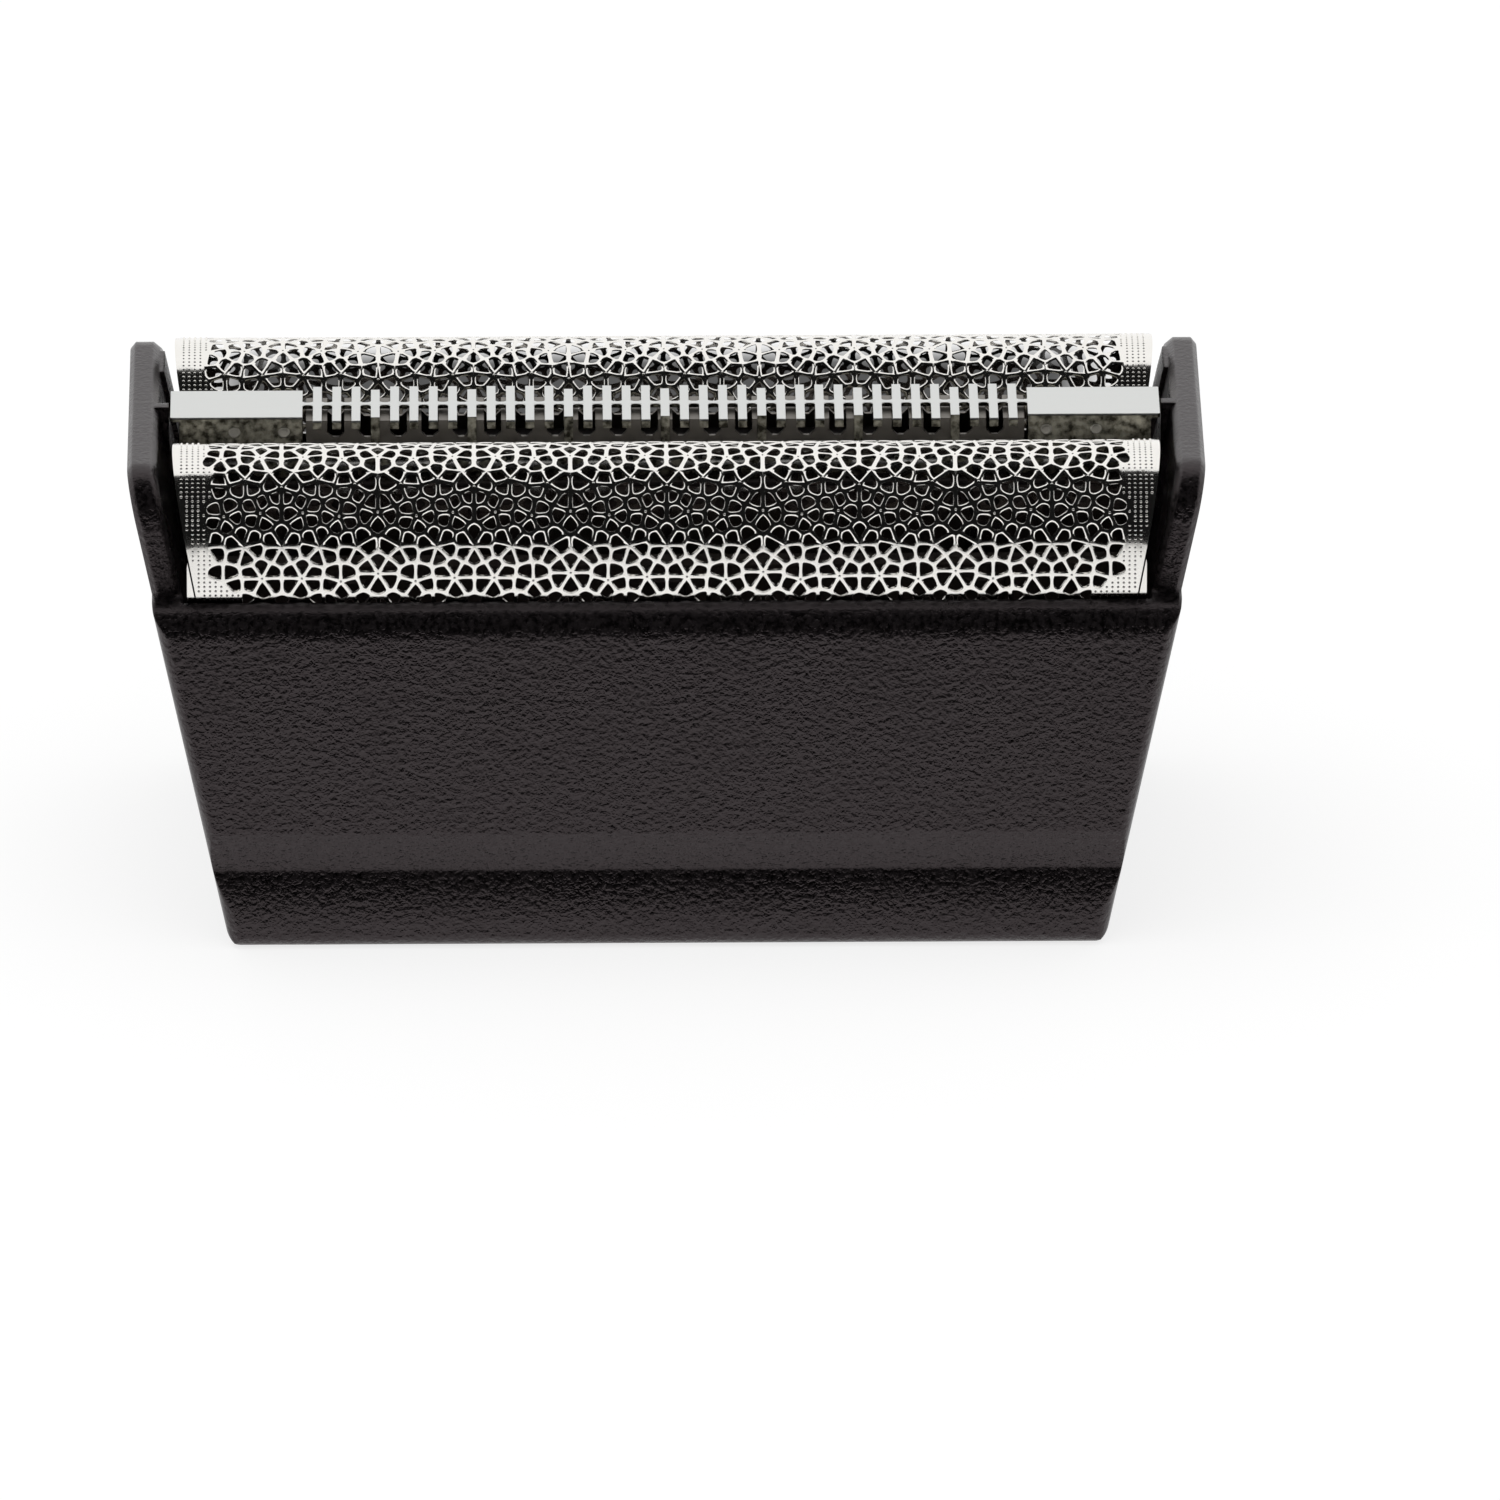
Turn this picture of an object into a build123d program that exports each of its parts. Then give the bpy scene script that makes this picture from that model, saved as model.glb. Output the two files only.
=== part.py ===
"""Foil head of an electric shaver: a moulded frame with two arched cutting foils and a
sprung trimmer between them.

X runs along the foils, -Y is the front, Z is up. The origin is the centre of the frame's
bottom rim. All sizes are in millimetres.
"""

import os
from math import cos, pi, sin

from build123d import *

# Trimmer comb: the slotted steel channel between the foils
slot_pitch = 1.09
slot_count = 38
rib_width = 0.5
rib_length = 5.2
ribs_per_strap = 5
spine_width = 0.36
end_bar = 7.45
comb_width = 4.1
comb_side = 3.85
comb_sheet = 0.25
comb_overhang = 0.5
comb_end_corner = 0.12
comb_bend = 0.08
rib_tip_drop = 0.5
comb_rail = 1.3
comb_setback = 0.55

# Trimmer blade: the toothed channel that slides inside the comb
blade_pitch = 1.77
blade_slot_count = 22
blade_slot = 0.95
blade_slot_depth = 1.0
blade_slot_corner = 0.3
blade_side = 2.6
blade_margin = 0.8
blade_clearance = 0.1
blade_stroke = 1.0

# Driver, leaf spring and carrier of the trimmer
driver_block_length = 24.0
driver_block_height = 0.8
driver_stem_length = 5.0
driver_stem_width = 1.4
driver_reach = 2.5
fork_gap = 1.6
fork_depth = 2.4
leaf_sheet = 0.15
leaf_width = 2.6
leaf_margin = 1.0
leaf_clearance = 0.05
carrier_setback = 0.8
carrier_thickness = 1.8
carrier_clearance = 0.15
slot_clearance = 0.2
end_block_clearance = 0.05
float_travel = 1.5
stop_nub_length = 1.8
stop_nub_height = 1.1
stop_nub_reach = 0.6
stop_nub_station = 18.0
stop_clearance = 0.05

# Coil springs under the ends of the carrier
spring_station = 23.8
spring_diameter = 2.8
spring_wire = 0.36
spring_turns = 3
spring_steps = 8
spring_sides = 5
spring_seat_gap = 0.03
spring_peg_height = 1.3
spring_peg_clearance = 0.2

# Bridge: the channel that carries the trimmer and the inner edges of the foils
comb_gap = 0.6
web_thickness = 0.9
web_foil_gap = 0.1
web_below_carrier = 0.2
floor_drop = 3.05
floor_thickness = 1.0
bridge_end_gap = 0.3
floor_window_length = 11.0
floor_window_width = 3.0
floor_window_station = 12.5

# Foils: arched perforated sheets
foil_radius = 4.2
foil_sheet = 0.1
foil_rise = 3.3
foil_edge_drop = 3.7
foil_end_gap = 0.9
foil_end_slope = 0.18
hole_columns = 9
hole_pitch = 5.7
hole_length = 5.1
hole_width = 1.45
hole_row_step = 1.95
inner_hole_rows = 2
outer_hole_rows = 3

# Strips and pegs that hold the long edges of the foils
strip_sheet = 0.8
strip_height = 2.8
strip_overhang = 0.2
strip_gap = 0.03
strip_end_gap = 0.5
peg_count = 3
peg_pitch = 18.0
peg_height = 1.1
peg_width = 1.6
peg_thickness = 0.8
peg_hole_clearance = 0.06
peg_head_overhang = 0.35
peg_head = 0.35
peg_head_gap = 0.02
peg_head_taper = 20.0

# Frame: the black shell with an ear at each end
wall_height = 20.55
wall_thickness = 1.8
land_gap = 0.05
lip_gap = 0.3
lip_depth = 2.0
lip_radius = 1.8
end_wall = 1.7
end_slope = 0.205
end_foot = 1.3
plan_corner = 0.9
ear_height = 7.0
ear_setback = 2.4
ear_corner = 2.8
ear_edge = 0.35
ear_step = 0.25
ear_step_place = 5.6
guide_clearance = 0.1
pad_thickness = 0.63
pad_width = 0.7
pad_drop = 0.1
groove_depth = 0.7
groove_height = 4.5
groove_flank = 2.5
bead_bulge = 0.05
bead_height = 1.5
rim_radius = 0.8
rim_chamfer = 0.4
shelf_length = 1.8
shelf_width = 6.4
shelf_thickness = 1.6
keeper_reach = 0.8
keeper_width = 3.4
keeper_thickness = 0.7
keeper_gap = 0.05
catch_width = 8.0
catch_height = 3.0
catch_bottom = 4.5
catch_depth = 0.7

# Depths, outwards from the middle of the trimmer
channel_half = comb_width / 2 + comb_gap
web_half = channel_half + web_thickness
foil_inner = web_half + web_foil_gap
foil_offset = foil_inner + foil_radius
foil_outer = foil_offset + foil_radius
land_half = foil_outer + land_gap
lip_half = foil_outer + lip_gap
half_depth = land_half + wall_thickness
ear_half = half_depth - ear_setback

# Heights
ear_top = wall_height + ear_height
foil_centre = wall_height + foil_rise
foil_crest = foil_centre + foil_radius
foil_edge = wall_height - foil_edge_drop
comb_top = foil_crest - comb_setback
carrier_top = comb_top - comb_side
carrier_bottom = carrier_top - carrier_thickness
web_top = carrier_top - web_below_carrier
floor_top = wall_height - floor_drop
floor_bottom = floor_top - floor_thickness
strip_bottom = foil_edge - strip_overhang
peg_level = foil_edge + peg_height

# Lengths, outwards from the middle of the head
slots_half = (slot_count * slot_pitch - rib_width) / 2
comb_half = slots_half + end_bar
comb_side_half = comb_half - comb_overhang
carrier_half = comb_side_half - carrier_setback
pad_face = comb_half + guide_clearance
ear_inner_top = pad_face + pad_thickness


def end_inside(height):
    """Half of the frame's inside length at a height, because the ends lean outwards going up."""
    return ear_inner_top - (ear_top - height) * end_slope


def end_outside(height):
    """Half of the frame's outside length at a height."""
    return end_inside(height) + end_wall


def foil_end(height):
    """Half of a foil's length at a height, because its ends are cut at a slant."""
    return end_inside(ear_top) - foil_end_gap - (foil_crest - height) * foil_end_slope


def leaning_ends(low, high, half_length):
    """The four corners, in X and Z, of a symmetrical shape whose ends lean."""
    return [
        (-half_length(low), low),
        (half_length(low), low),
        (half_length(high), high),
        (-half_length(high), high),
    ]


def upright_plane(depth, direction):
    """An upright plane at a depth that faces the front (-1) or the rear (1), with its Y axis up."""
    return Plane((0, depth, 0), x_dir=(-direction, 0, 0), z_dir=(0, direction, 0))


# Places of the pegs along a foil edge
peg_row = [
    Location((place.position.X, peg_level))
    for place in GridLocations(peg_pitch, 0, peg_count, 1)
]


def add_pegs(plane, length):
    """Add a row of staked pegs to the part being built: shanks that stand on a plane, and heads."""
    with BuildSketch(plane) as shanks:
        with Locations(*peg_row):
            Rectangle(peg_width, peg_thickness)
    extrude(shanks.sketch, amount=length)
    with BuildSketch(plane.offset(length)) as heads:
        with Locations(*peg_row):
            Rectangle(peg_width + 2 * peg_head_overhang, peg_thickness + 2 * peg_head_overhang)
    extrude(heads.sketch, amount=peg_head, taper=peg_head_taper)


def cut_peg_holes(plane):
    """Cut the holes for a row of pegs through the thin piece that lies on a plane."""
    with BuildSketch(plane) as holes:
        with Locations(*peg_row):
            Rectangle(peg_width + 2 * peg_hole_clearance, peg_thickness + 2 * peg_hole_clearance)
    extrude(holes.sketch, amount=strip_sheet, both=True, mode=Mode.SUBTRACT)


# Frame
with BuildPart() as outer_frame:
    with BuildSketch(Plane.XZ):
        Polygon(*leaning_ends(0, ear_top, end_outside), align=None)
    extrude(amount=half_depth + bead_bulge, both=True)
    fillet([edge for edge in outer_frame.edges() if abs(edge.tangent_at(0.5).Z) > 0.5], plan_corner)

    # Section across the long walls: rounded lip, flat wall, finger groove, bead and bottom rim
    groove = half_depth - groove_depth
    bead = half_depth + bead_bulge
    bead_rise = groove_height - bead_height
    bead_set = bead - groove
    bead_radius = (bead_rise**2 + bead_set**2) / (2 * bead_set)
    with BuildSketch(Plane.YZ) as wall_section:
        with BuildLine():
            Line((0, wall_height), (half_depth - lip_radius, wall_height))
            RadiusArc(
                (half_depth - lip_radius, wall_height),
                (half_depth, wall_height - lip_radius),
                lip_radius,
            )
            Polyline(
                (half_depth, wall_height - lip_radius),
                (half_depth, groove_height + groove_flank),
                (groove, groove_height),
            )
            RadiusArc((groove, groove_height), (bead, bead_height), bead_radius)
            Line((bead, bead_height), (bead, rim_radius))
            RadiusArc((bead, rim_radius), (bead - rim_radius, 0), rim_radius)
            Line((bead - rim_radius, 0), (0, 0))
            mirror(about=Plane.YZ)
        make_face()
        # The ears rise behind the walls, with rounded shoulders
        with Locations((0, ear_top)):
            RectangleRounded(2 * ear_half, 2 * ear_height, ear_corner, align=(Align.CENTER, Align.MAX))
    extrude(amount=end_outside(ear_top), both=True, mode=Mode.INTERSECT)
    # The foot of each end is rounded
    with BuildSketch(Plane.XZ) as ends:
        Polygon(*leaning_ends(0, ear_top, end_outside), align=None)
        fillet(ends.vertices().group_by(Axis.Y)[0], end_foot)
    extrude(amount=half_depth + bead_bulge, both=True, mode=Mode.INTERSECT)

    # Inside: the socket for the shaver, the relief behind the lip and the space between the ears
    with BuildSketch(Plane.XZ):
        Polygon(*leaning_ends(0, wall_height, end_inside), align=None)
    extrude(amount=land_half, both=True, mode=Mode.SUBTRACT)
    with BuildSketch(Plane.XZ):
        Polygon(*leaning_ends(wall_height - lip_depth, wall_height, end_inside), align=None)
    extrude(amount=lip_half, both=True, mode=Mode.SUBTRACT)
    with BuildSketch(Plane.XZ):
        Polygon(*leaning_ends(wall_height, ear_top, end_inside), align=None)
    extrude(amount=half_depth, both=True, mode=Mode.SUBTRACT)
    rim_edges = outer_frame.faces().sort_by(Axis.Z)[0].inner_wires()[0].edges()
    chamfer(rim_edges, rim_chamfer)

    # Softened rims of the ears, inside and outside
    ear_rims = [
        edge
        for edge in outer_frame.edges()
        if edge.center().Z > wall_height + ear_edge and abs(edge.tangent_at(0.5).X) < 0.5
    ]
    chamfer(ear_rims, ear_edge)

    for end in (-1, 1):
        # Upright pad that guides the end of the trimmer
        pad_top = ear_top - pad_drop
        pad_foot = ear_top - pad_thickness / end_slope
        with BuildSketch(Plane.XZ):
            Polygon(
                (end * pad_face, pad_foot),
                (end * pad_face, pad_top),
                (end * end_inside(pad_top), pad_top),
                (end * (end_inside(pad_top) + end_wall / 2), pad_top),
                (end * (end_inside(pad_foot) + end_wall / 2), pad_foot),
                align=None,
            )
        extrude(amount=pad_width / 2, both=True)

        # Thicker rear end of the ear, below its softened rim
        step_top = ear_top - ear_edge
        with BuildSketch(Plane.XZ.offset(-ear_step_place)):
            Polygon(
                (end * end_inside(wall_height), wall_height),
                (end * (end_inside(wall_height) - ear_step), wall_height),
                (end * (end_inside(step_top) - ear_step), step_top),
                (end * end_inside(step_top), step_top),
                align=None,
            )
        extrude(amount=-(ear_half - ear_corner - ear_step_place))

        # Shelf with a sloping underside that the bridge stands on
        shelf_tip = end_inside(floor_bottom) - shelf_length
        shelf_foot = floor_bottom - shelf_thickness - shelf_length
        with BuildSketch(Plane.XZ):
            Polygon(
                (end * shelf_tip, floor_bottom),
                (end * (end_inside(floor_bottom) + end_wall / 2), floor_bottom),
                (end * (end_inside(shelf_foot) + end_wall / 2), shelf_foot),
                (end * end_inside(shelf_foot), shelf_foot),
                (end * shelf_tip, floor_bottom - shelf_thickness),
                align=None,
            )
        extrude(amount=shelf_width / 2, both=True)

        # Keeper nose that the end of the bridge snaps under
        keeper_low = floor_top + keeper_gap
        keeper_high = keeper_low + keeper_thickness
        keeper_root = keeper_high + keeper_reach
        keeper_tip = end_inside(floor_bottom) - bridge_end_gap - keeper_reach / 2
        with BuildSketch(Plane.XZ):
            Polygon(
                (end * keeper_tip, keeper_low),
                (end * (end_inside(keeper_low) + end_wall / 2), keeper_low),
                (end * (end_inside(keeper_root) + end_wall / 2), keeper_root),
                (end * end_inside(keeper_root), keeper_root),
                (end * keeper_tip, keeper_high),
                align=None,
            )
        extrude(amount=keeper_width / 2, both=True)

        # Recess for the shaver's catch
        catch_top = catch_bottom + catch_height
        with BuildSketch(Plane.XZ):
            Polygon(
                (end * (end_inside(catch_bottom) - end_wall), catch_bottom),
                (end * (end_inside(catch_bottom) + catch_depth), catch_bottom),
                (end * (end_inside(catch_top) + catch_depth), catch_top),
                (end * (end_inside(catch_top) - end_wall), catch_top),
                align=None,
            )
        extrude(amount=catch_width / 2, both=True, mode=Mode.SUBTRACT)

    # Staked pegs on the long walls, through the foils and their outer strips
    for side in (-1, 1):
        strip_back = foil_outer - foil_sheet - strip_gap - strip_sheet
        add_pegs(upright_plane(side * land_half, -side), land_half - strip_back + peg_head_gap)
outer_frame.part.label = "outer_frame"


# Foils
def make_foil(side):
    """One foil: a thin sheet bent over an arch, with slanted ends, rows of openings and peg holes."""
    centre = side * foil_offset
    skirt = foil_centre - foil_edge
    bore = foil_radius - foil_sheet
    with BuildPart() as foil:
        with BuildSketch(Plane.YZ):
            with Locations((centre, foil_centre)):
                Circle(foil_radius)
                Rectangle(2 * foil_radius, skirt, align=(Align.CENTER, Align.MAX))
                Circle(bore, mode=Mode.SUBTRACT)
                Rectangle(2 * bore, skirt, align=(Align.CENTER, Align.MAX), mode=Mode.SUBTRACT)
        extrude(amount=end_inside(ear_top), both=True)
        with BuildSketch(Plane.XZ):
            Polygon(*leaning_ends(foil_edge, foil_crest, foil_end), align=None)
        extrude(amount=half_depth, both=True, mode=Mode.INTERSECT)

        # Rows of openings round the arch, every second row moved along by half a pitch
        for row in range(-inner_hole_rows, outer_hole_rows + 1):
            lean = row * hole_row_step / foil_radius
            outward = (0, side * sin(lean), cos(lean))
            middle = (0, centre + foil_radius * outward[1], foil_centre + foil_radius * outward[2])
            with BuildSketch(Plane(middle, x_dir=(1, 0, 0), z_dir=outward)):
                with GridLocations(hole_pitch, 0, hole_columns - row % 2, 1):
                    Rectangle(hole_length, hole_width)
            extrude(amount=foil_radius / 2, both=True, mode=Mode.SUBTRACT)
        # One more row on the upright flank that shows above the frame's wall
        flank_row = outer_hole_rows + 1
        flank_drop = flank_row * hole_row_step - foil_radius * pi / 2
        with BuildSketch(upright_plane(side * foil_outer, side)):
            with Locations((0, foil_centre - flank_drop)):
                with GridLocations(hole_pitch, 0, hole_columns - flank_row % 2, 1):
                    Rectangle(hole_length, hole_width)
        extrude(amount=foil_radius / 2, both=True, mode=Mode.SUBTRACT)

        cut_peg_holes(upright_plane(side * foil_outer, side))
        cut_peg_holes(upright_plane(side * foil_inner, side))
    return foil.part


front_foil = make_foil(-1)
front_foil.label = "front_foil"
rear_foil = make_foil(1)
rear_foil.label = "rear_foil"


# Clamping strips on the hollow side of the foils' long edges
def make_strip(foil_face, inwards):
    """One strip against the hollow face of a foil edge, reaching inwards under the arch."""
    with BuildPart() as strip:
        plane = upright_plane(foil_face + inwards * strip_gap, inwards)
        with BuildSketch(plane):
            with Locations((0, strip_bottom)):
                Rectangle(
                    2 * (end_inside(strip_bottom) - strip_end_gap),
                    strip_height,
                    align=(Align.CENTER, Align.MIN),
                )
        extrude(amount=strip_sheet)
        cut_peg_holes(plane)
    return strip.part


front_outer_strip = make_strip(-(foil_outer - foil_sheet), 1)
front_outer_strip.label = "front_outer_strip"
front_inner_strip = make_strip(-(foil_inner + foil_sheet), -1)
front_inner_strip.label = "front_inner_strip"
rear_inner_strip = make_strip(foil_inner + foil_sheet, 1)
rear_inner_strip.label = "rear_inner_strip"
rear_outer_strip = make_strip(foil_outer - foil_sheet, -1)
rear_outer_strip.label = "rear_outer_strip"

# Openings that the driver's stem passes through, with room for its stroke
stem_slot_length = driver_stem_length + 2 * (blade_stroke + slot_clearance)
stem_slot_width = driver_stem_width + 2 * slot_clearance

# Bridge
with BuildPart() as trimmer_bridge:
    bridge_half = end_inside(floor_bottom) - bridge_end_gap
    with BuildSketch(Plane.YZ):
        with Locations((0, floor_bottom)):
            Rectangle(2 * web_half, web_top - floor_bottom, align=(Align.CENTER, Align.MIN))
        with Locations((0, floor_top)):
            Rectangle(
                2 * channel_half,
                web_top - floor_top,
                align=(Align.CENTER, Align.MIN),
                mode=Mode.SUBTRACT,
            )
    extrude(amount=bridge_half, both=True)

    # Floor: the driver's slot and a window on either side of it
    with BuildSketch(Plane.XY.offset(floor_bottom)):
        Rectangle(stem_slot_length, stem_slot_width)
        with Locations((-floor_window_station, 0), (floor_window_station, 0)):
            Rectangle(floor_window_length, floor_window_width)
    extrude(amount=floor_thickness, mode=Mode.SUBTRACT)

    # Webs: windows in which the carrier's stop nubs travel
    window_foot = carrier_bottom - float_travel - stop_clearance
    window_head = carrier_bottom + stop_nub_height + stop_clearance
    with BuildSketch(Plane.XZ):
        with Locations((-stop_nub_station, window_foot), (stop_nub_station, window_foot)):
            Rectangle(
                stop_nub_length + 2 * slot_clearance,
                window_head - window_foot,
                align=(Align.CENTER, Align.MIN),
            )
    extrude(amount=web_half, both=True, mode=Mode.SUBTRACT)

    # Pegs inside the coil springs
    with BuildSketch(Plane.XY.offset(floor_top)):
        with Locations((-spring_station, 0), (spring_station, 0)):
            RegularPolygon(spring_diameter / 2 - spring_wire - spring_peg_clearance, 6)
    extrude(amount=spring_peg_height)

    # Staked pegs through the inner edges of the foils and their strips
    for side in (-1, 1):
        strip_back = foil_inner + foil_sheet + strip_gap + strip_sheet
        add_pegs(upright_plane(side * web_half, side), strip_back + peg_head_gap - web_half)
trimmer_bridge.part.label = "trimmer_bridge"

# Comb
with BuildPart() as trimmer_comb:
    # End bars: a channel bent from sheet, with a top plate that reaches past its sides
    with BuildSketch(Plane.YZ) as plate_section:
        with Locations((0, comb_top)):
            Rectangle(comb_width, comb_sheet, align=(Align.CENTER, Align.MAX))
        chamfer(plate_section.vertices().group_by(Axis.Y)[-1], comb_bend)
    extrude(amount=comb_half, both=True)
    with BuildSketch(Plane.XY.offset(comb_top)) as plate_plan:
        Rectangle(2 * comb_half, comb_width)
        chamfer(plate_plan.vertices(), comb_end_corner)
    extrude(amount=-comb_sheet, mode=Mode.INTERSECT)
    with BuildSketch(Plane.YZ):
        with Locations((0, comb_top - comb_sheet)):
            Rectangle(comb_width, comb_side - comb_sheet, align=(Align.CENTER, Align.MAX))
            Rectangle(
                comb_width - 2 * comb_sheet,
                comb_side - comb_sheet,
                align=(Align.CENTER, Align.MAX),
                mode=Mode.SUBTRACT,
            )
    extrude(amount=comb_side_half, both=True)

    # Field of ribs: a wider plate with its long edges bent down
    with BuildSketch(Plane.YZ) as rib_section:
        with Locations((0, comb_top)):
            Rectangle(rib_length, rib_tip_drop, align=(Align.CENTER, Align.MAX))
        chamfer(rib_section.vertices().group_by(Axis.Y)[-1], comb_bend)
        with Locations((0, comb_top - comb_sheet)):
            Rectangle(
                rib_length - 2 * comb_sheet,
                rib_tip_drop,
                align=(Align.CENTER, Align.MAX),
                mode=Mode.SUBTRACT,
            )
    extrude(amount=slots_half, both=True)

    # Windows in the sides between the straps that tie the ribs to the rails
    strap_pitch = ribs_per_strap * slot_pitch
    strap_count = int(2 * slots_half / strap_pitch)
    strap_places = [(index - (strap_count - 1) / 2) * strap_pitch for index in range(strap_count)]
    window_edges = [-slots_half - rib_width / 2] + strap_places + [slots_half + rib_width / 2]
    with BuildSketch(Plane.XZ):
        for left, right in zip(window_edges[:-1], window_edges[1:]):
            with Locations(((left + right) / 2, comb_top - comb_sheet)):
                Rectangle(
                    right - left - rib_width,
                    comb_side - comb_sheet - comb_rail,
                    align=(Align.CENTER, Align.MAX),
                )
    extrude(amount=comb_width / 2, both=True, mode=Mode.SUBTRACT)

    # Slots between the ribs, on both sides of the spine
    with BuildSketch(Plane.XY.offset(comb_top)):
        with GridLocations(slot_pitch, 0, slot_count, 1):
            Rectangle(slot_pitch - rib_width, rib_length)
        Rectangle(2 * comb_half, spine_width, mode=Mode.SUBTRACT)
    extrude(amount=-rib_tip_drop, mode=Mode.SUBTRACT)
    # The straps have no tips
    with BuildSketch(Plane.XY.offset(comb_top)):
        with Locations(*[(place, 0) for place in strap_places]):
            Rectangle(slot_pitch, rib_length)
            Rectangle(slot_pitch, comb_width, mode=Mode.SUBTRACT)
    extrude(amount=-rib_tip_drop, mode=Mode.SUBTRACT)
trimmer_comb.part.label = "trimmer_comb"

# Blade
blade_width = comb_width - 2 * (comb_sheet + blade_clearance)
blade_top = comb_top - comb_sheet - blade_clearance
blade_half = blade_slot_count * blade_pitch / 2 + blade_margin
with BuildPart() as trimmer_blade:
    with BuildSketch(Plane.YZ):
        with Locations((0, blade_top)):
            Rectangle(blade_width, blade_side, align=(Align.CENTER, Align.MAX))
        with Locations((0, blade_top - comb_sheet)):
            Rectangle(
                blade_width - 2 * comb_sheet,
                blade_side,
                align=(Align.CENTER, Align.MAX),
                mode=Mode.SUBTRACT,
            )
    extrude(amount=blade_half, both=True)
    # Teeth: slots with blunt round bottoms across the top and down both sides
    with BuildSketch(Plane.XZ):
        with Locations((0, blade_top - blade_slot_depth)):
            with GridLocations(blade_pitch, 0, blade_slot_count, 1):
                Polygon(
                    (-blade_slot / 2, 2 * blade_slot_depth),
                    (-blade_slot / 2, blade_slot_corner),
                    (-blade_slot / 2 + blade_slot_corner, 0),
                    (blade_slot / 2 - blade_slot_corner, 0),
                    (blade_slot / 2, blade_slot_corner),
                    (blade_slot / 2, 2 * blade_slot_depth),
                    align=None,
                )
    extrude(amount=blade_width / 2, both=True, mode=Mode.SUBTRACT)
trimmer_blade.part.label = "trimmer_blade"

# Driver
block_bottom = blade_top - blade_side
with BuildPart() as blade_driver:
    with BuildSketch(Plane.XY.offset(block_bottom)):
        Rectangle(driver_block_length, blade_width - 2 * comb_sheet)
    extrude(amount=driver_block_height)
    with BuildSketch(Plane.XZ):
        stem_foot = floor_bottom - driver_reach
        with Locations((0, stem_foot)):
            Rectangle(driver_stem_length, block_bottom - stem_foot, align=(Align.CENTER, Align.MIN))
            Rectangle(fork_gap, fork_depth, align=(Align.CENTER, Align.MIN), mode=Mode.SUBTRACT)
    extrude(amount=driver_stem_width / 2, both=True)
blade_driver.part.label = "blade_driver"

# Leaf spring
with BuildPart() as blade_leaf_spring:
    leaf_half = driver_block_length / 2 - leaf_margin
    leaf_crown = block_bottom - leaf_clearance
    with BuildSketch(Plane.XZ):
        with BuildLine():
            ThreePointArc(
                (-leaf_half, carrier_top),
                (0, leaf_crown - leaf_sheet),
                (leaf_half, carrier_top),
            )
            Line((leaf_half, carrier_top), (leaf_half, carrier_top + leaf_sheet))
            ThreePointArc(
                (leaf_half, carrier_top + leaf_sheet),
                (0, leaf_crown),
                (-leaf_half, carrier_top + leaf_sheet),
            )
            Line((-leaf_half, carrier_top + leaf_sheet), (-leaf_half, carrier_top))
        make_face()
    extrude(amount=leaf_width / 2, both=True)
    with BuildSketch(Plane.XY.offset(carrier_top)):
        Rectangle(stem_slot_length, stem_slot_width)
    extrude(amount=block_bottom - carrier_top, mode=Mode.SUBTRACT)
blade_leaf_spring.part.label = "blade_leaf_spring"

# Carrier
with BuildPart() as trimmer_carrier:
    carrier_half_width = channel_half - carrier_clearance
    with BuildSketch(Plane.XY.offset(carrier_bottom)):
        Rectangle(2 * carrier_half, 2 * carrier_half_width)
        Rectangle(stem_slot_length, stem_slot_width, mode=Mode.SUBTRACT)
    extrude(amount=carrier_thickness)
    # Blocks that fill the end bars of the comb, clear of the blade's stroke
    block_start = blade_half + blade_stroke + slot_clearance
    block_length = carrier_half - block_start
    with BuildSketch(Plane.XY.offset(carrier_top)):
        with Locations(
            (-block_start - block_length / 2, 0),
            (block_start + block_length / 2, 0),
        ):
            Rectangle(block_length, comb_width - 2 * (comb_sheet + end_block_clearance))
    extrude(amount=comb_side - comb_sheet - end_block_clearance)
    # Stop nubs that ride in the windows of the bridge
    with BuildSketch(Plane.XY.offset(carrier_bottom)):
        with Locations((-stop_nub_station, 0), (stop_nub_station, 0)):
            Rectangle(stop_nub_length, 2 * (channel_half + stop_nub_reach))
    extrude(amount=stop_nub_height)
trimmer_carrier.part.label = "trimmer_carrier"


# Coil springs
def make_coil(station):
    """One coil spring: round wire swept along a helix between the bridge and the carrier."""
    seat = floor_top + spring_wire / 2 + spring_seat_gap
    height = carrier_bottom - spring_wire / 2 - spring_seat_gap - seat
    coil_radius = (spring_diameter - spring_wire) / 2
    steps = [index / spring_steps for index in range(spring_steps * spring_turns + 1)]
    with BuildPart() as coil:
        with BuildLine() as path:
            Polyline(
                *[
                    (
                        station + coil_radius * cos(2 * pi * turn),
                        coil_radius * sin(2 * pi * turn),
                        seat + height * turn / spring_turns,
                    )
                    for turn in steps
                ]
            )
        with BuildSketch(Plane(path.line @ 0, z_dir=path.line % 0)):
            RegularPolygon(spring_wire / 2, spring_sides)
        sweep(transition=Transition.RIGHT)
    return coil.part


left_coil_spring = make_coil(-spring_station)
left_coil_spring.label = "left_coil_spring"
right_coil_spring = make_coil(spring_station)
right_coil_spring.label = "right_coil_spring"

os.makedirs("parts", exist_ok=True)
for piece in (
    outer_frame.part,
    front_foil,
    rear_foil,
    front_outer_strip,
    front_inner_strip,
    rear_inner_strip,
    rear_outer_strip,
    trimmer_bridge.part,
    trimmer_comb.part,
    trimmer_blade.part,
    blade_driver.part,
    blade_leaf_spring.part,
    trimmer_carrier.part,
    left_coil_spring,
    right_coil_spring,
):
    export_step(piece, f"parts/{piece.label}.step")
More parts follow.
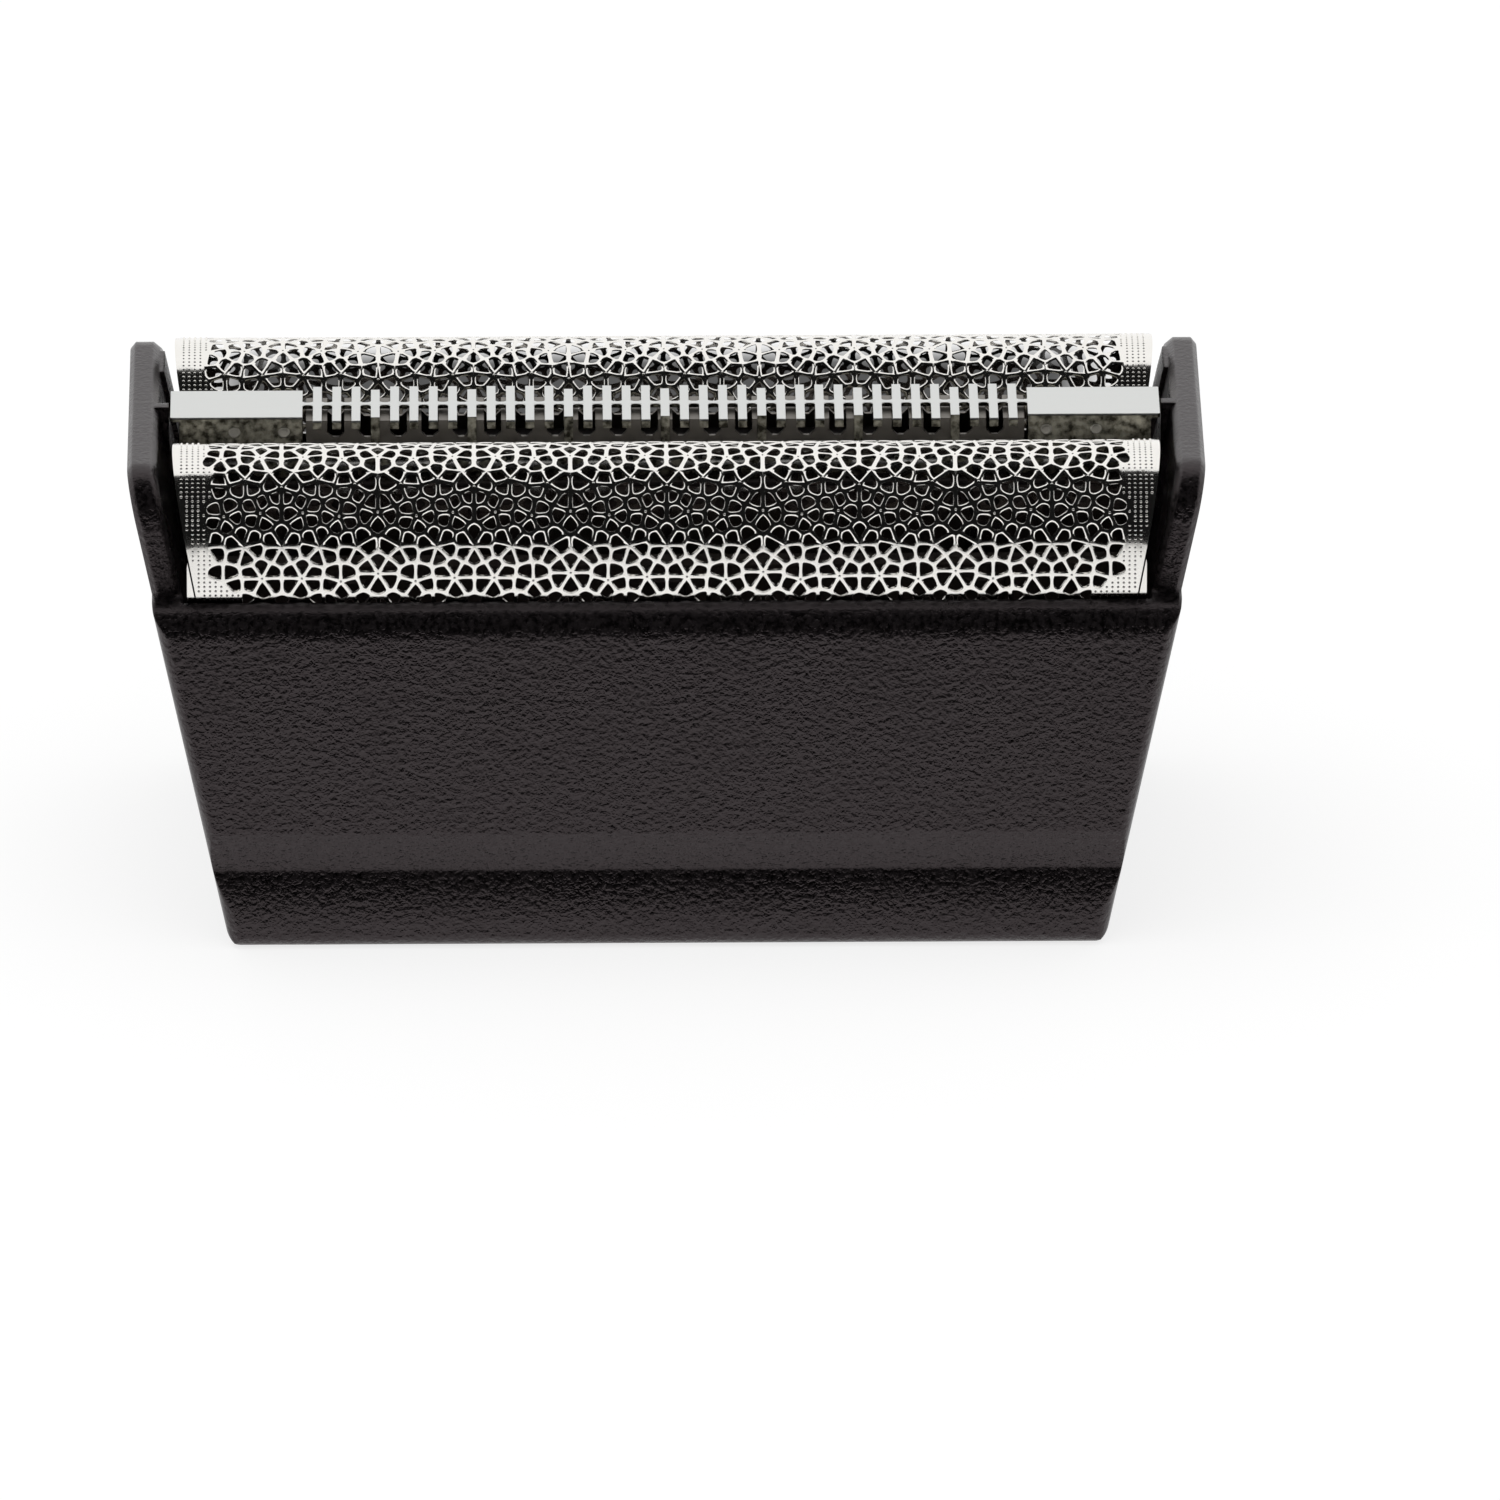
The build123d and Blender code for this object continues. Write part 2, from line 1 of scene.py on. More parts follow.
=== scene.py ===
"""Dressed foil head of an electric shaver, on a white studio floor.

The file follows the head as it is put together: frame, bridge and strips, foils, trimmer, studio.
Sizes in the foil and trimmer sections are in millimetres and become metres when a mesh is made.
"""

import math

import bmesh
import bpy
import numpy as np
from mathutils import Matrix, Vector
from mathutils.geometry import delaunay_2d_cdt


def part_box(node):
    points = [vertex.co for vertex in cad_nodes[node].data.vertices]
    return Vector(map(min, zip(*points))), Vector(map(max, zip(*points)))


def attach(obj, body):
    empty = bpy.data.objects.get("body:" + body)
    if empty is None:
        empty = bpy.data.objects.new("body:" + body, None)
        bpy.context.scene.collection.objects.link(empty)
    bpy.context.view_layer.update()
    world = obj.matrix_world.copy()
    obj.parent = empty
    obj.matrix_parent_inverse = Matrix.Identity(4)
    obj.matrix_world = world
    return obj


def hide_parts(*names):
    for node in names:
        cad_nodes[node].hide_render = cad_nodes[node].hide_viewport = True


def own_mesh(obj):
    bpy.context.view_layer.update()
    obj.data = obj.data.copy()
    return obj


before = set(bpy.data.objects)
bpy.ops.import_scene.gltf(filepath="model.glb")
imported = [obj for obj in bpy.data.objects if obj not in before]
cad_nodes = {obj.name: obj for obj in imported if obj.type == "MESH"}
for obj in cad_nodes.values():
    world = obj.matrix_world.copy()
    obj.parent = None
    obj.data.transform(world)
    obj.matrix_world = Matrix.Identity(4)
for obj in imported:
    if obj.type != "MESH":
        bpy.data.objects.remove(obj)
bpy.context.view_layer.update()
bpy.context.scene.view_settings.view_transform = "Standard"

# Frame: the black shell that clips onto the shaver, moulded in one piece with its two ears.
# The steel mould is spark eroded, which leaves a fine grain on the long walls. The ears are smoother.
edge_samples = 6
cloud_scale = 260.0
sheen_drift = 0.06
# Range of the grain noise over which its pits are painted darker than its tops, as painted shade.
pit_shade_range = (0.38, 0.62)
wall_facing = (0.6, 0.95)
ear_grain = 0.22
plastic_tint = (1.0, 0.84, 0.87, 1.0)


def add_node(tree, kind, **inputs):
    """Add one shader node and set its inputs, whose names have underscores for spaces."""
    node = tree.nodes.new(kind)
    for name, value in inputs.items():
        node.inputs[name.replace("_", " ")].default_value = value
    return node


def colour_inputs(mix):
    """The two colour sockets of a colour mix."""
    return [socket for socket in mix.inputs if socket.type == "RGBA"]


def colour_output(mix):
    """The colour that a colour mix gives."""
    return [socket for socket in mix.outputs if socket.type == "RGBA"][0]


def add_colour_mix(tree, first, second):
    """Add a node that mixes two colours by its Factor."""
    mix = tree.nodes.new("ShaderNodeMix")
    mix.data_type = "RGBA"
    colour_inputs(mix)[0].default_value = (*first, 1.0)
    colour_inputs(mix)[1].default_value = (*second, 1.0)
    return mix


def add_math(tree, operation, *operands):
    """Add a maths node on one or two values and give its result."""
    node = tree.nodes.new("ShaderNodeMath")
    node.operation = operation
    for socket, operand in zip(node.inputs, operands):
        tree.links.new(operand, socket)
    return node.outputs["Value"]


def normal_part(tree, axis):
    """The X, Y or Z part of the direction that a face looks in."""
    facing = tree.nodes.new("ShaderNodeNewGeometry")
    parts = tree.nodes.new("ShaderNodeSeparateXYZ")
    tree.links.new(facing.outputs["True Normal"], parts.inputs["Vector"])
    return parts.outputs[axis]


def add_relief(tree, raised, height, soft_edge):
    """Raise a surface by a noise, with its edges rounded off, and give the bump node."""
    edge = add_node(tree, "ShaderNodeBevel", Radius=soft_edge)
    edge.samples = edge_samples
    bump = add_node(tree, "ShaderNodeBump", Strength=1.0, Distance=height)
    tree.links.new(raised, bump.inputs["Height"])
    tree.links.new(edge.outputs["Normal"], bump.inputs["Normal"])
    tree.links.new(bump.outputs["Normal"], tree.nodes["Principled BSDF"].inputs["Normal"])
    return bump


def moulded_plastic(name, deep, pale, grain, height, soft_edge, rough, all_over):
    """Black moulded plastic. Its roughness drifts in soft clouds, a fine noise raises its grain, the same
    noise paints the pits of the grain darker than its tops as painted shade, and its edges are rounded off.
    Unless the grain is all over, it fades where a face turns away from the front and the rear."""
    material = bpy.data.materials.new(name)
    material.use_nodes = True
    tree = material.node_tree
    shader = tree.nodes["Principled BSDF"]
    shader.inputs["Specular Tint"].default_value = plastic_tint
    place = add_node(tree, "ShaderNodeTexCoord")

    cloud = add_node(tree, "ShaderNodeTexNoise", Scale=cloud_scale, Detail=4.0)
    tree.links.new(place.outputs["Object"], cloud.inputs["Vector"])
    sheen = add_node(tree, "ShaderNodeMapRange", To_Min=rough - sheen_drift, To_Max=rough + sheen_drift)
    tree.links.new(cloud.outputs["Fac"], sheen.inputs["Value"])
    tree.links.new(sheen.outputs["Result"], shader.inputs["Roughness"])

    pebble = add_node(tree, "ShaderNodeTexNoise", Scale=1.0 / grain, Detail=2.0, Roughness=0.6)
    tree.links.new(place.outputs["Object"], pebble.inputs["Vector"])
    # Painted shade: the pits of the grain are coloured darker than its tops.
    pit_shade = add_node(tree, "ShaderNodeMapRange", From_Min=pit_shade_range[0], From_Max=pit_shade_range[1])
    tree.links.new(pebble.outputs["Fac"], pit_shade.inputs["Value"])
    colour = add_colour_mix(tree, deep, pale)
    tree.links.new(pit_shade.outputs["Result"], colour.inputs["Factor"])
    tree.links.new(colour_output(colour), shader.inputs["Base Color"])

    bump = add_relief(tree, pebble.outputs["Fac"], height, soft_edge)
    if not all_over:
        fade = add_node(
            tree, "ShaderNodeMapRange", From_Min=wall_facing[0], From_Max=wall_facing[1], To_Min=ear_grain
        )
        tree.links.new(add_math(tree, "ABSOLUTE", normal_part(tree, "Y")), fade.inputs["Value"])
        tree.links.new(fade.outputs["Result"], bump.inputs["Strength"])
    return material


def dress(node, material):
    """Give a carried-over node one material in all its slots."""
    slots = cad_nodes[node].data.materials
    slots.clear()
    slots.append(material)


frame_black = moulded_plastic(
    "frame_black",
    deep=(0.0012, 0.0010, 0.0011),
    pale=(0.0110, 0.0093, 0.0099),
    grain=0.0003,
    height=0.00016,
    soft_edge=0.0003,
    rough=0.27,
    all_over=False,
)
dress("outer_frame", frame_black)

# Bridge and clamping strips: black mouldings inside the frame. The bridge snaps in under the keepers,
# and the strips are staked on pegs, so that they clamp the long edges of the foils.
inner_black = moulded_plastic(
    "inner_black",
    deep=(0.013, 0.010, 0.009),
    pale=(0.024, 0.019, 0.016),
    grain=0.00012,
    height=0.000004,
    soft_edge=0.00012,
    rough=0.45,
    all_over=True,
)
dress("trimmer_bridge", inner_black)
strip_black = moulded_plastic(
    "strip_black",
    deep=(0.020, 0.015, 0.013),
    pale=(0.034, 0.027, 0.023),
    grain=0.00012,
    height=0.000004,
    soft_edge=0.0001,
    rough=0.5,
    all_over=True,
)
for strip in ("front_outer_strip", "front_inner_strip", "rear_inner_strip", "rear_outer_strip"):
    dress(strip, strip_black)

# Foils: thin nickel sheets grown by electroforming and bent over an arch. Stars of five or six openings
# fill them in units that mirror each other. The web between openings is crowned on the outside and runs
# out to a cutting edge inside. The end bands are plain, with rows of tiny embossed dots.
foil_low, foil_high = [np.array(corner) * 1000.0 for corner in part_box("rear_foil")]
dot_height = 0.036
foil_axis = (foil_low[1] + foil_high[1]) / 2
foil_centre = foil_high[2] - (foil_high[1] - foil_low[1]) / 2
foil_radius = foil_high[2] - foil_centre - dot_height
foil_sheet = 0.09
foil_end_slope = 0.18
quarter = foil_radius * math.pi / 2
foil_edge = quarter + foil_centre - foil_low[2]

unit_width = 5.4
half_units = 5
star_row_step = 1.9
star_rows = 11
first_star_row = -8.6
even_row_stars = ((0.0, 0.4), (2.12, -0.3), (4.15, 0.15))
odd_row_stars = ((1.2, -0.15), (3.33, 0.35), (unit_width, -0.4))
star_shift = (0.24, 0.26)
six_petal_share = 0.35
petal_reach = {5: 0.64, 6: 0.72}
turns_tried = 14
axis_tolerance = 1e-6
far_away = 99.0
settling_rounds = 14
settling_step = 0.8
sample_step = 0.08
sample_margin = 0.3

field_half = 25.8
field_inner = -8.2
field_outer = 10.4
corner_start = 8.3
corner_lean = 0.96
corner_cut = 0.15
flat_half = 27.0
pattern_end_margin = 0.2
pattern_edge_margin = 2.5
peg_row = foil_edge - 1.1
peg_pitch = 3.0
peg_places = (-18.0, 0.0, 18.0)
wide_cells = 8
upper_row_rise = 1.6
mirror_reach = 4.0

web_half = 0.135
arch_crown = np.array([0.060, 0.003])
flank_crown = np.array([0.078, 0.002])
flank_start = 0.6
flank_fade = 0.9
crest_thinning = 0.04
crest_narrowing = 0.022
crest_reach = 3.2
crest_fade = 1.2
web_steps = 3
shortest_web = 0.02
corner_power = 6.5
inset_limit = 0.97
tiny = 1e-9


def unit_images(places):
    """Places in a unit followed by their images in its two mirror axes."""
    mirrored = places * (-1, 1)
    return np.concatenate([places, mirrored, mirrored + (2 * unit_width, 0)])


def star_unit(generator):
    """Openings' centres in one unit between two mirror axes, the star of each, its reach, and the stars'
    centres. Stars stand in staggered wavy rows, jittered. Each has five or six petals at one distance from
    its centre, turned so that they keep clear of the petals placed before. A star on a mirror axis is
    symmetrical about it, and only its petals on the axis or inside the unit are kept."""
    placed = np.empty((0, 2))
    owner = []
    reach = []
    centres = []
    for row in range(star_rows):
        columns = odd_row_stars if row % 2 == 1 else even_row_stars
        for column, lift in columns:
            on_axis = column in (0.0, unit_width)
            sideways = 0.0 if on_axis else star_shift[0]
            shift = generator.uniform(-1, 1, 2) * np.array([sideways, star_shift[1]])
            centre = np.array([column, first_star_row + row * star_row_step + lift]) + shift
            centres.append(centre)
            petals = 6 if generator.random() < six_petal_share else 5
            if on_axis:
                turns = np.array([math.pi / 2, -math.pi / 2])
            else:
                tries = np.linspace(0, 2 * math.pi / petals, turns_tried)
                turns = generator.uniform(0, 2 * math.pi) + tries
            angles = turns[:, None] + 2 * math.pi * np.arange(petals) / petals
            options = centre + petal_reach[petals] * np.stack([np.cos(angles), np.sin(angles)], axis=-1)
            rivals = np.concatenate([unit_images(placed), [[far_away, far_away]]])
            gaps = np.linalg.norm(options[:, :, None] - rivals, axis=-1).min(axis=(1, 2))
            star = options[np.argmax(gaps)]
            if on_axis:
                star[np.abs(star[:, 0] - column) < axis_tolerance, 0] = column
                star = star[(star[:, 0] >= 0) & (star[:, 0] <= unit_width)]
            placed = np.concatenate([placed, star])
            owner += [len(centres) - 1] * len(star)
            reach += [petal_reach[petals]] * len(star)
    return placed, np.array(owner), np.array(reach), np.array(centres)


def settled_unit(petals, owner, reach, centres):
    """Evens out the openings of a unit. In each round every petal goes most of the way to the middle of
    the area that is nearest to it, mirror images counted, then each star's centre to the mean of its
    petals, and the petals back to their distance from it. What lies on a mirror axis stays on it."""
    along = np.arange(sample_step / 2, unit_width, sample_step)
    down = np.arange(petals[:, 1].min() - sample_margin, petals[:, 1].max() + sample_margin, sample_step)
    samples = np.stack(np.meshgrid(along, down, indexing="ij"), axis=-1).reshape(-1, 2)
    axis_petals = (petals[:, 0] == 0) | (petals[:, 0] == unit_width)
    axis_centres = (centres[:, 0] == 0) | (centres[:, 0] == unit_width)
    axis_place = petals[axis_petals, 0]
    axis_centre_place = centres[axis_centres, 0]
    share = np.where(axis_petals, 0.5, 1.0)
    count = len(petals)
    for _ in range(settling_rounds):
        images = unit_images(petals)
        square = (samples[:, :1] - images[:, 0]) ** 2 + (samples[:, 1:] - images[:, 1]) ** 2
        nearest = square.argmin(axis=1)
        image = nearest // count
        own_side = np.choose(image, [samples[:, 0], -samples[:, 0], 2 * unit_width - samples[:, 0]])
        petal = nearest % count
        area = np.maximum(np.bincount(petal, minlength=count), 1)
        middle = np.stack(
            [
                np.bincount(petal, weights=own_side, minlength=count) / area,
                np.bincount(petal, weights=samples[:, 1], minlength=count) / area,
            ],
            axis=1,
        )
        petals = petals + settling_step * (middle - petals)
        petals[axis_petals, 0] = axis_place
        weight = np.bincount(owner, weights=share)
        centres = np.stack(
            [np.bincount(owner, weights=share * petals[:, axis]) / weight for axis in (0, 1)], axis=1
        )
        centres[axis_centres, 0] = axis_centre_place
        offset = petals - centres[owner]
        petals = centres[owner] + offset * (reach / np.linalg.norm(offset, axis=1))[:, None]
        petals[axis_petals, 0] = axis_place
    return petals, centres


def along_the_foil(unit):
    """Places of one unit repeated along the foil, every second time mirrored."""
    on_axis = (unit[:, 0] == 0) | (unit[:, 0] == unit_width)
    copies = []
    for index in range(-half_units, half_units):
        if index % 2 == 0:
            copies.append(unit + (index * unit_width, 0))
        else:
            copies.append(unit[~on_axis] * (-1, 1) + ((index + 1) * unit_width, 0))
    return np.concatenate(copies)


def in_field(places, margin):
    """Whether places lie in the perforated field, whose outer corners are cut off, by a margin."""
    along = np.abs(places[:, 0]) + margin
    down = places[:, 1]
    inside = (along < field_half) & (down > field_inner + margin) & (down < field_outer - margin)
    return inside & (along + corner_lean * (np.abs(down) - corner_start) < field_half - corner_cut)


petal_unit, star_centres = settled_unit(*star_unit(np.random.default_rng(14)))
star_places = along_the_foil(star_centres)


def foil_seeds():
    """Centres of all openings and plain cells of a flat foil, with what each is: 0 plain, 1 opening, 2 peg
    hole. Rows of wide cells follow below the pattern, in line with the pegs."""
    pattern = along_the_foil(petal_unit[petal_unit[:, 1] < foil_edge - pattern_edge_margin])
    pattern = pattern[np.abs(pattern[:, 0]) < flat_half - pattern_end_margin]
    wide = np.arange(-wide_cells, wide_cells + 1) * peg_pitch
    between = np.arange(-wide_cells - 0.5, wide_cells + 1) * peg_pitch
    rows = [
        np.stack([wide, np.full_like(wide, peg_row)], axis=1),
        np.stack([wide, np.full_like(wide, -peg_row)], axis=1),
        np.stack([between, np.full_like(between, -peg_row + upper_row_rise)], axis=1),
    ]
    seeds = np.concatenate([pattern] + rows)
    peg = (np.abs(seeds[:, 1]) == peg_row) & np.isin(seeds[:, 0], peg_places)
    return seeds, np.where(peg, 2, in_field(seeds, 0).astype(int))


def with_mirror_images(seeds):
    """Seeds followed by their images beyond the four borders, which make the borders straight webs."""
    for axis, border in ((0, flat_half), (1, foil_edge)):
        near = seeds[np.abs(seeds[:, axis]) > border - mirror_reach]
        beyond = near.copy()
        beyond[:, axis] = np.sign(near[:, axis]) * 2 * border - near[:, axis]
        seeds = np.concatenate([seeds, beyond])
    return seeds


def web_net(seeds):
    """Net of webs halfway between neighbouring seeds. Three neighbours with no other seed in their circle
    meet at the circle's centre, a node of the net. Gives the triples, the nodes and each side of each
    web: its own cell, the cell across, and its first and last corners in that cell."""
    result = delaunay_2d_cdt([Vector(seed) for seed in seeds], [], [], 0, tiny)
    names = np.array([given[0] for given in result[3]])
    triples = names[np.array(result[2])]
    first, second, third = seeds[triples[:, 0]], seeds[triples[:, 1]], seeds[triples[:, 2]]
    to_second = second - first
    to_third = third - first
    turn = to_second[:, 0] * to_third[:, 1] - to_second[:, 1] * to_third[:, 0]
    clockwise = turn < 0
    triples[clockwise] = triples[clockwise][:, ::-1]
    turn = np.where(np.abs(turn) < tiny, tiny, turn)
    square_second = (to_second**2).sum(axis=1)
    square_third = (to_third**2).sum(axis=1)
    offset = np.stack(
        [
            to_third[:, 1] * square_second - to_second[:, 1] * square_third,
            to_second[:, 0] * square_third - to_third[:, 0] * square_second,
        ],
        axis=1,
    )
    nodes = first + offset / (2 * turn)[:, None]

    cell = triples.ravel()
    across = np.roll(triples, -1, axis=1).ravel()
    key = cell.astype(np.int64) * len(seeds) + across
    opposite_key = across.astype(np.int64) * len(seeds) + cell
    order = np.argsort(key)
    found = np.clip(np.searchsorted(key[order], opposite_key), 0, len(key) - 1)
    opposite = order[found]
    paired = key[opposite] == opposite_key
    side = np.arange(len(cell))
    following = side - side % 3 + (side + 1) % 3
    first_corner = following[opposite]
    return triples, nodes, cell, across, first_corner, side, opposite, paired


def crown_at(down):
    """Half width and drop of the webs' crown at places round the foil: narrow and round on the arch, wide
    and nearly flat on the flanks. Both are set by how the webs shine, as nothing shows their section."""
    flat = np.clip((np.abs(down) - quarter + flank_start) / flank_fade, 0, 1)[:, None]
    crown = arch_crown * (1 - flat) + flank_crown * flat
    return crown[:, 0], crown[:, 1], flat[:, 0] > 0.5


def on_crest(down):
    """1 at places over the crest of the foil, falling evenly to 0 further round it."""
    return np.clip((crest_reach - np.abs(down)) / crest_fade, 0, 1)


def sheet_at(down):
    """Thickness of the sheet at places round the foil: less over the crest, where it is seen edge on."""
    return foil_sheet - crest_thinning * on_crest(down)


def web_half_at(down):
    """Half width of the webs at places round the foil: a little less over the crest, as the photo shows."""
    return web_half - crest_narrowing * on_crest(down)


def join_rings(outer, inner):
    """Quads between two rings of point numbers that run the same way."""
    return np.stack([outer[:, :-1], outer[:, 1:], inner[:, 1:], inner[:, :-1]], axis=2).reshape(-1, 4)


def flat_foil():
    """One foil laid flat, as points (along, round, depth), the crease of each, quads and triangles.
    Each side of each web is cut into short steps. Over an opening it goes from the ridge of the web to the
    shoulder of its crown and down to the cutting edge, whose distance from the seed is a rounded minimum
    of the distances to all the cell's webs. Plain cells are fans."""
    seeds, kind = foil_seeds()
    count = len(seeds)
    all_seeds = with_mirror_images(seeds)
    triples, nodes, cell, across, first_corner, last_corner, opposite, paired = web_net(all_seeds)
    used = np.flatnonzero(paired & (cell < count))
    first_node = first_corner // 3
    last_node = last_corner // 3

    # Table of each cell's webs: distance from the seed and direction
    reach = all_seeds[across] - all_seeds[cell]
    span = np.linalg.norm(reach, axis=1)
    length = np.linalg.norm(nodes[last_node] - nodes[first_node], axis=1)
    real = used[length[used] > shortest_web]
    real = real[np.argsort(cell[real], kind="stable")]
    starts = np.searchsorted(cell[real], np.arange(count))
    place = np.arange(len(real)) - starts[cell[real]]
    distance = np.full((count, place.max() + 1), np.inf)
    direction = np.zeros((count, place.max() + 1, 2))
    distance[cell[real], place] = span[real] / 2
    direction[cell[real], place] = reach[real] / span[real][:, None]

    def inset(points, cells, amount):
        """Points moved along their rays to the seeds until the webs have a half width, with rounded
        corners."""
        ray = points - seeds[cells]
        far = np.linalg.norm(ray, axis=1)
        ray = ray / far[:, None]
        facing = np.clip(np.einsum("nij,nj->ni", direction[cells], ray), 0, None)
        pull = (facing / (distance[cells] - amount[:, None])) ** corner_power
        near = pull.sum(axis=1) ** (-1 / corner_power)
        return seeds[cells] + ray * np.minimum(near, inset_limit * far)[:, None]

    corner_cell = triples.ravel()
    corner_used = np.flatnonzero(corner_cell < count)
    part = np.arange(1, web_steps) / web_steps
    middle = nodes[first_node[used]][:, None] * (1 - part)[None, :, None]
    middle = middle + nodes[last_node[used]][:, None] * part[None, :, None]
    middle_cell = np.repeat(cell[used], web_steps - 1)
    middle = middle.reshape(-1, 2)

    # Number the points: ridge, underside, shoulder, cutting edge and the middles of plain cells
    node_count = len(nodes)
    side_count = len(cell)
    side_number = np.full(side_count, -1)
    side_number[used] = np.arange(len(used))
    inside_step = np.arange(web_steps - 1)
    owner = (cell[used] < across[used]) | (across[used] >= count)
    own = side_number[used][:, None] * (web_steps - 1) + inside_step
    other = side_number[opposite[used]][:, None] * (web_steps - 1) + inside_step[::-1]
    ridge_middle = np.where(owner[:, None], own, other)
    ridge = np.concatenate(
        [first_node[used][:, None], node_count + ridge_middle, last_node[used][:, None]], axis=1
    )
    level = node_count + len(middle)
    underside = ridge + level
    ring = np.concatenate(
        [first_corner[used][:, None], side_count + own, last_corner[used][:, None]], axis=1
    )
    ring_level = side_count + len(middle)
    shoulder = ring + 2 * level
    cutting_edge = shoulder + ring_level
    top_middle = 2 * level + 2 * ring_level + np.arange(count)
    under_middle = top_middle + count

    open_cells = kind[cell[used]] > 0
    plain_cells = ~open_cells
    border = across[used] >= count
    corner_points = nodes[corner_used // 3]
    corner_cells = corner_cell[corner_used]
    ring_points = np.zeros((2, ring_level, 2))
    corner_crown = crown_at(corner_points[:, 1])
    middle_crown = crown_at(middle[:, 1])
    ring_points[0, corner_used] = inset(corner_points, corner_cells, corner_crown[0])
    ring_points[0, side_count:] = inset(middle, middle_cell, middle_crown[0])
    ring_points[1, corner_used] = inset(corner_points, corner_cells, web_half_at(corner_points[:, 1]))
    ring_points[1, side_count:] = inset(middle, middle_cell, web_half_at(middle[:, 1]))
    shoulder_drop = np.zeros(ring_level)
    shoulder_drop[corner_used] = corner_crown[1]
    shoulder_drop[side_count:] = middle_crown[1]
    on_flank = np.zeros(ring_level, dtype=bool)
    on_flank[corner_used] = corner_crown[2]
    on_flank[side_count:] = middle_crown[2]
    ridge_points = np.concatenate([nodes, middle])
    flat = np.concatenate([ridge_points, ridge_points, ring_points[0], ring_points[1], seeds, seeds])
    depth = np.concatenate(
        [
            np.zeros(level),
            sheet_at(ridge_points[:, 1]),
            shoulder_drop,
            sheet_at(ring_points[1, :, 1]),
            np.zeros(count),
            sheet_at(seeds[:, 1]),
        ]
    )
    quads = np.concatenate(
        [
            join_rings(ridge[open_cells], shoulder[open_cells]),
            join_rings(shoulder[open_cells], cutting_edge[open_cells]),
            join_rings(cutting_edge[open_cells], underside[open_cells]),
            join_rings(underside[border], ridge[border]),
        ]
    )
    plain = cell[used][plain_cells]
    top = ridge[plain_cells]
    under = underside[plain_cells]
    top_fans = np.stack(
        [top[:, :-1], top[:, 1:], np.repeat(top_middle[plain][:, None], web_steps, axis=1)], axis=2
    )
    under_fans = np.stack(
        [under[:, 1:], under[:, :-1], np.repeat(under_middle[plain][:, None], web_steps, axis=1)], axis=2
    )
    triangles = np.concatenate([top_fans.reshape(-1, 3), under_fans.reshape(-1, 3)])

    kept = np.unique(np.concatenate([quads.ravel(), triangles.ravel()]))
    renumber = np.zeros(len(flat), dtype=np.int64)
    renumber[kept] = np.arange(len(kept))
    points = np.column_stack([flat[kept], depth[kept]])
    creased = np.zeros(len(flat), dtype=np.int32)
    creased[2 * level : 2 * level + ring_level] = np.where(on_flank, 1, 0)
    creased[2 * level + ring_level : 2 * level + 2 * ring_level] = 2
    return points, creased[kept], renumber[quads], renumber[triangles], seeds, kind


def foil_half_length(down):
    """Half of the foil's length at a place round the arch, because its ends are cut at a slant."""
    lean = np.clip(np.abs(down), 0, quarter) / foil_radius
    height = foil_radius * np.cos(lean) - np.clip(np.abs(down) - quarter, 0, None)
    return foil_high[0] - (foil_radius - height) * foil_end_slope


stretch_from = 26.2
stretch_retreat = 4.2
stretch_fade = 4.0
merge_distance = 5e-7


def stretch_start(down):
    """Place along the foil from which its cells are stretched or squeezed to the slanted end."""
    return stretch_from - stretch_retreat * np.clip((np.abs(down) - corner_start) / stretch_fade, 0, 1)


def scaled_past(along, start, scale):
    """Places along the foil, with what lies past a start on either side scaled."""
    beyond = np.clip(np.abs(along) - start, 0, None)
    return np.sign(along) * (np.abs(along) - beyond + beyond * scale)


def bend_foil(along, down, depth, side):
    """Points of a flat foil bent over the arch of the front (-1) or rear (1) foil, in metres.
    Past the perforated field their place along the foil is first scaled to the slanted end."""
    start = stretch_start(down)
    along = scaled_past(along, start, (foil_half_length(down) - start) / (flat_half - start))
    return bend_over_arch(along, down, depth, side)


def bend_over_arch(along, down, depth, side):
    """Points (along, round, depth) put on the arch and its upright flanks, in metres: round the arch on a
    circle whose radius shrinks with depth, and beyond a quarter turn straight down."""
    lean = np.clip(down, -quarter, quarter) / foil_radius
    flank = np.clip(np.abs(down) - quarter, 0, None)
    outward = (foil_radius - depth) * np.sin(lean)
    height = foil_centre + (foil_radius - depth) * np.cos(lean) - flank
    return np.stack([along, side * (foil_axis + outward), height], axis=-1) / 1000.0


def mesh_piece(name, points, faces, material, body, sharp, creased=None):
    """A new piece from points in metres and lists of faces: doubles merged, shaded smooth up to an angle,
    riding on a body of the head."""
    mesh = bpy.data.meshes.new(name)
    mesh.from_pydata(points.tolist(), [], faces)
    if creased is not None:
        mesh.attributes.new("creased", "INT", "POINT").data.foreach_set("value", creased)
    tidy = bmesh.new()
    tidy.from_mesh(mesh)
    bmesh.ops.remove_doubles(tidy, verts=tidy.verts, dist=merge_distance)
    tidy.to_mesh(mesh)
    tidy.free()
    mesh.shade_smooth()
    mesh.set_sharp_from_angle(angle=math.radians(sharp))
    mesh.materials.append(material)
    piece = bpy.data.objects.new(name, mesh)
    bpy.context.scene.collection.objects.link(piece)
    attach(piece, body)
    return piece


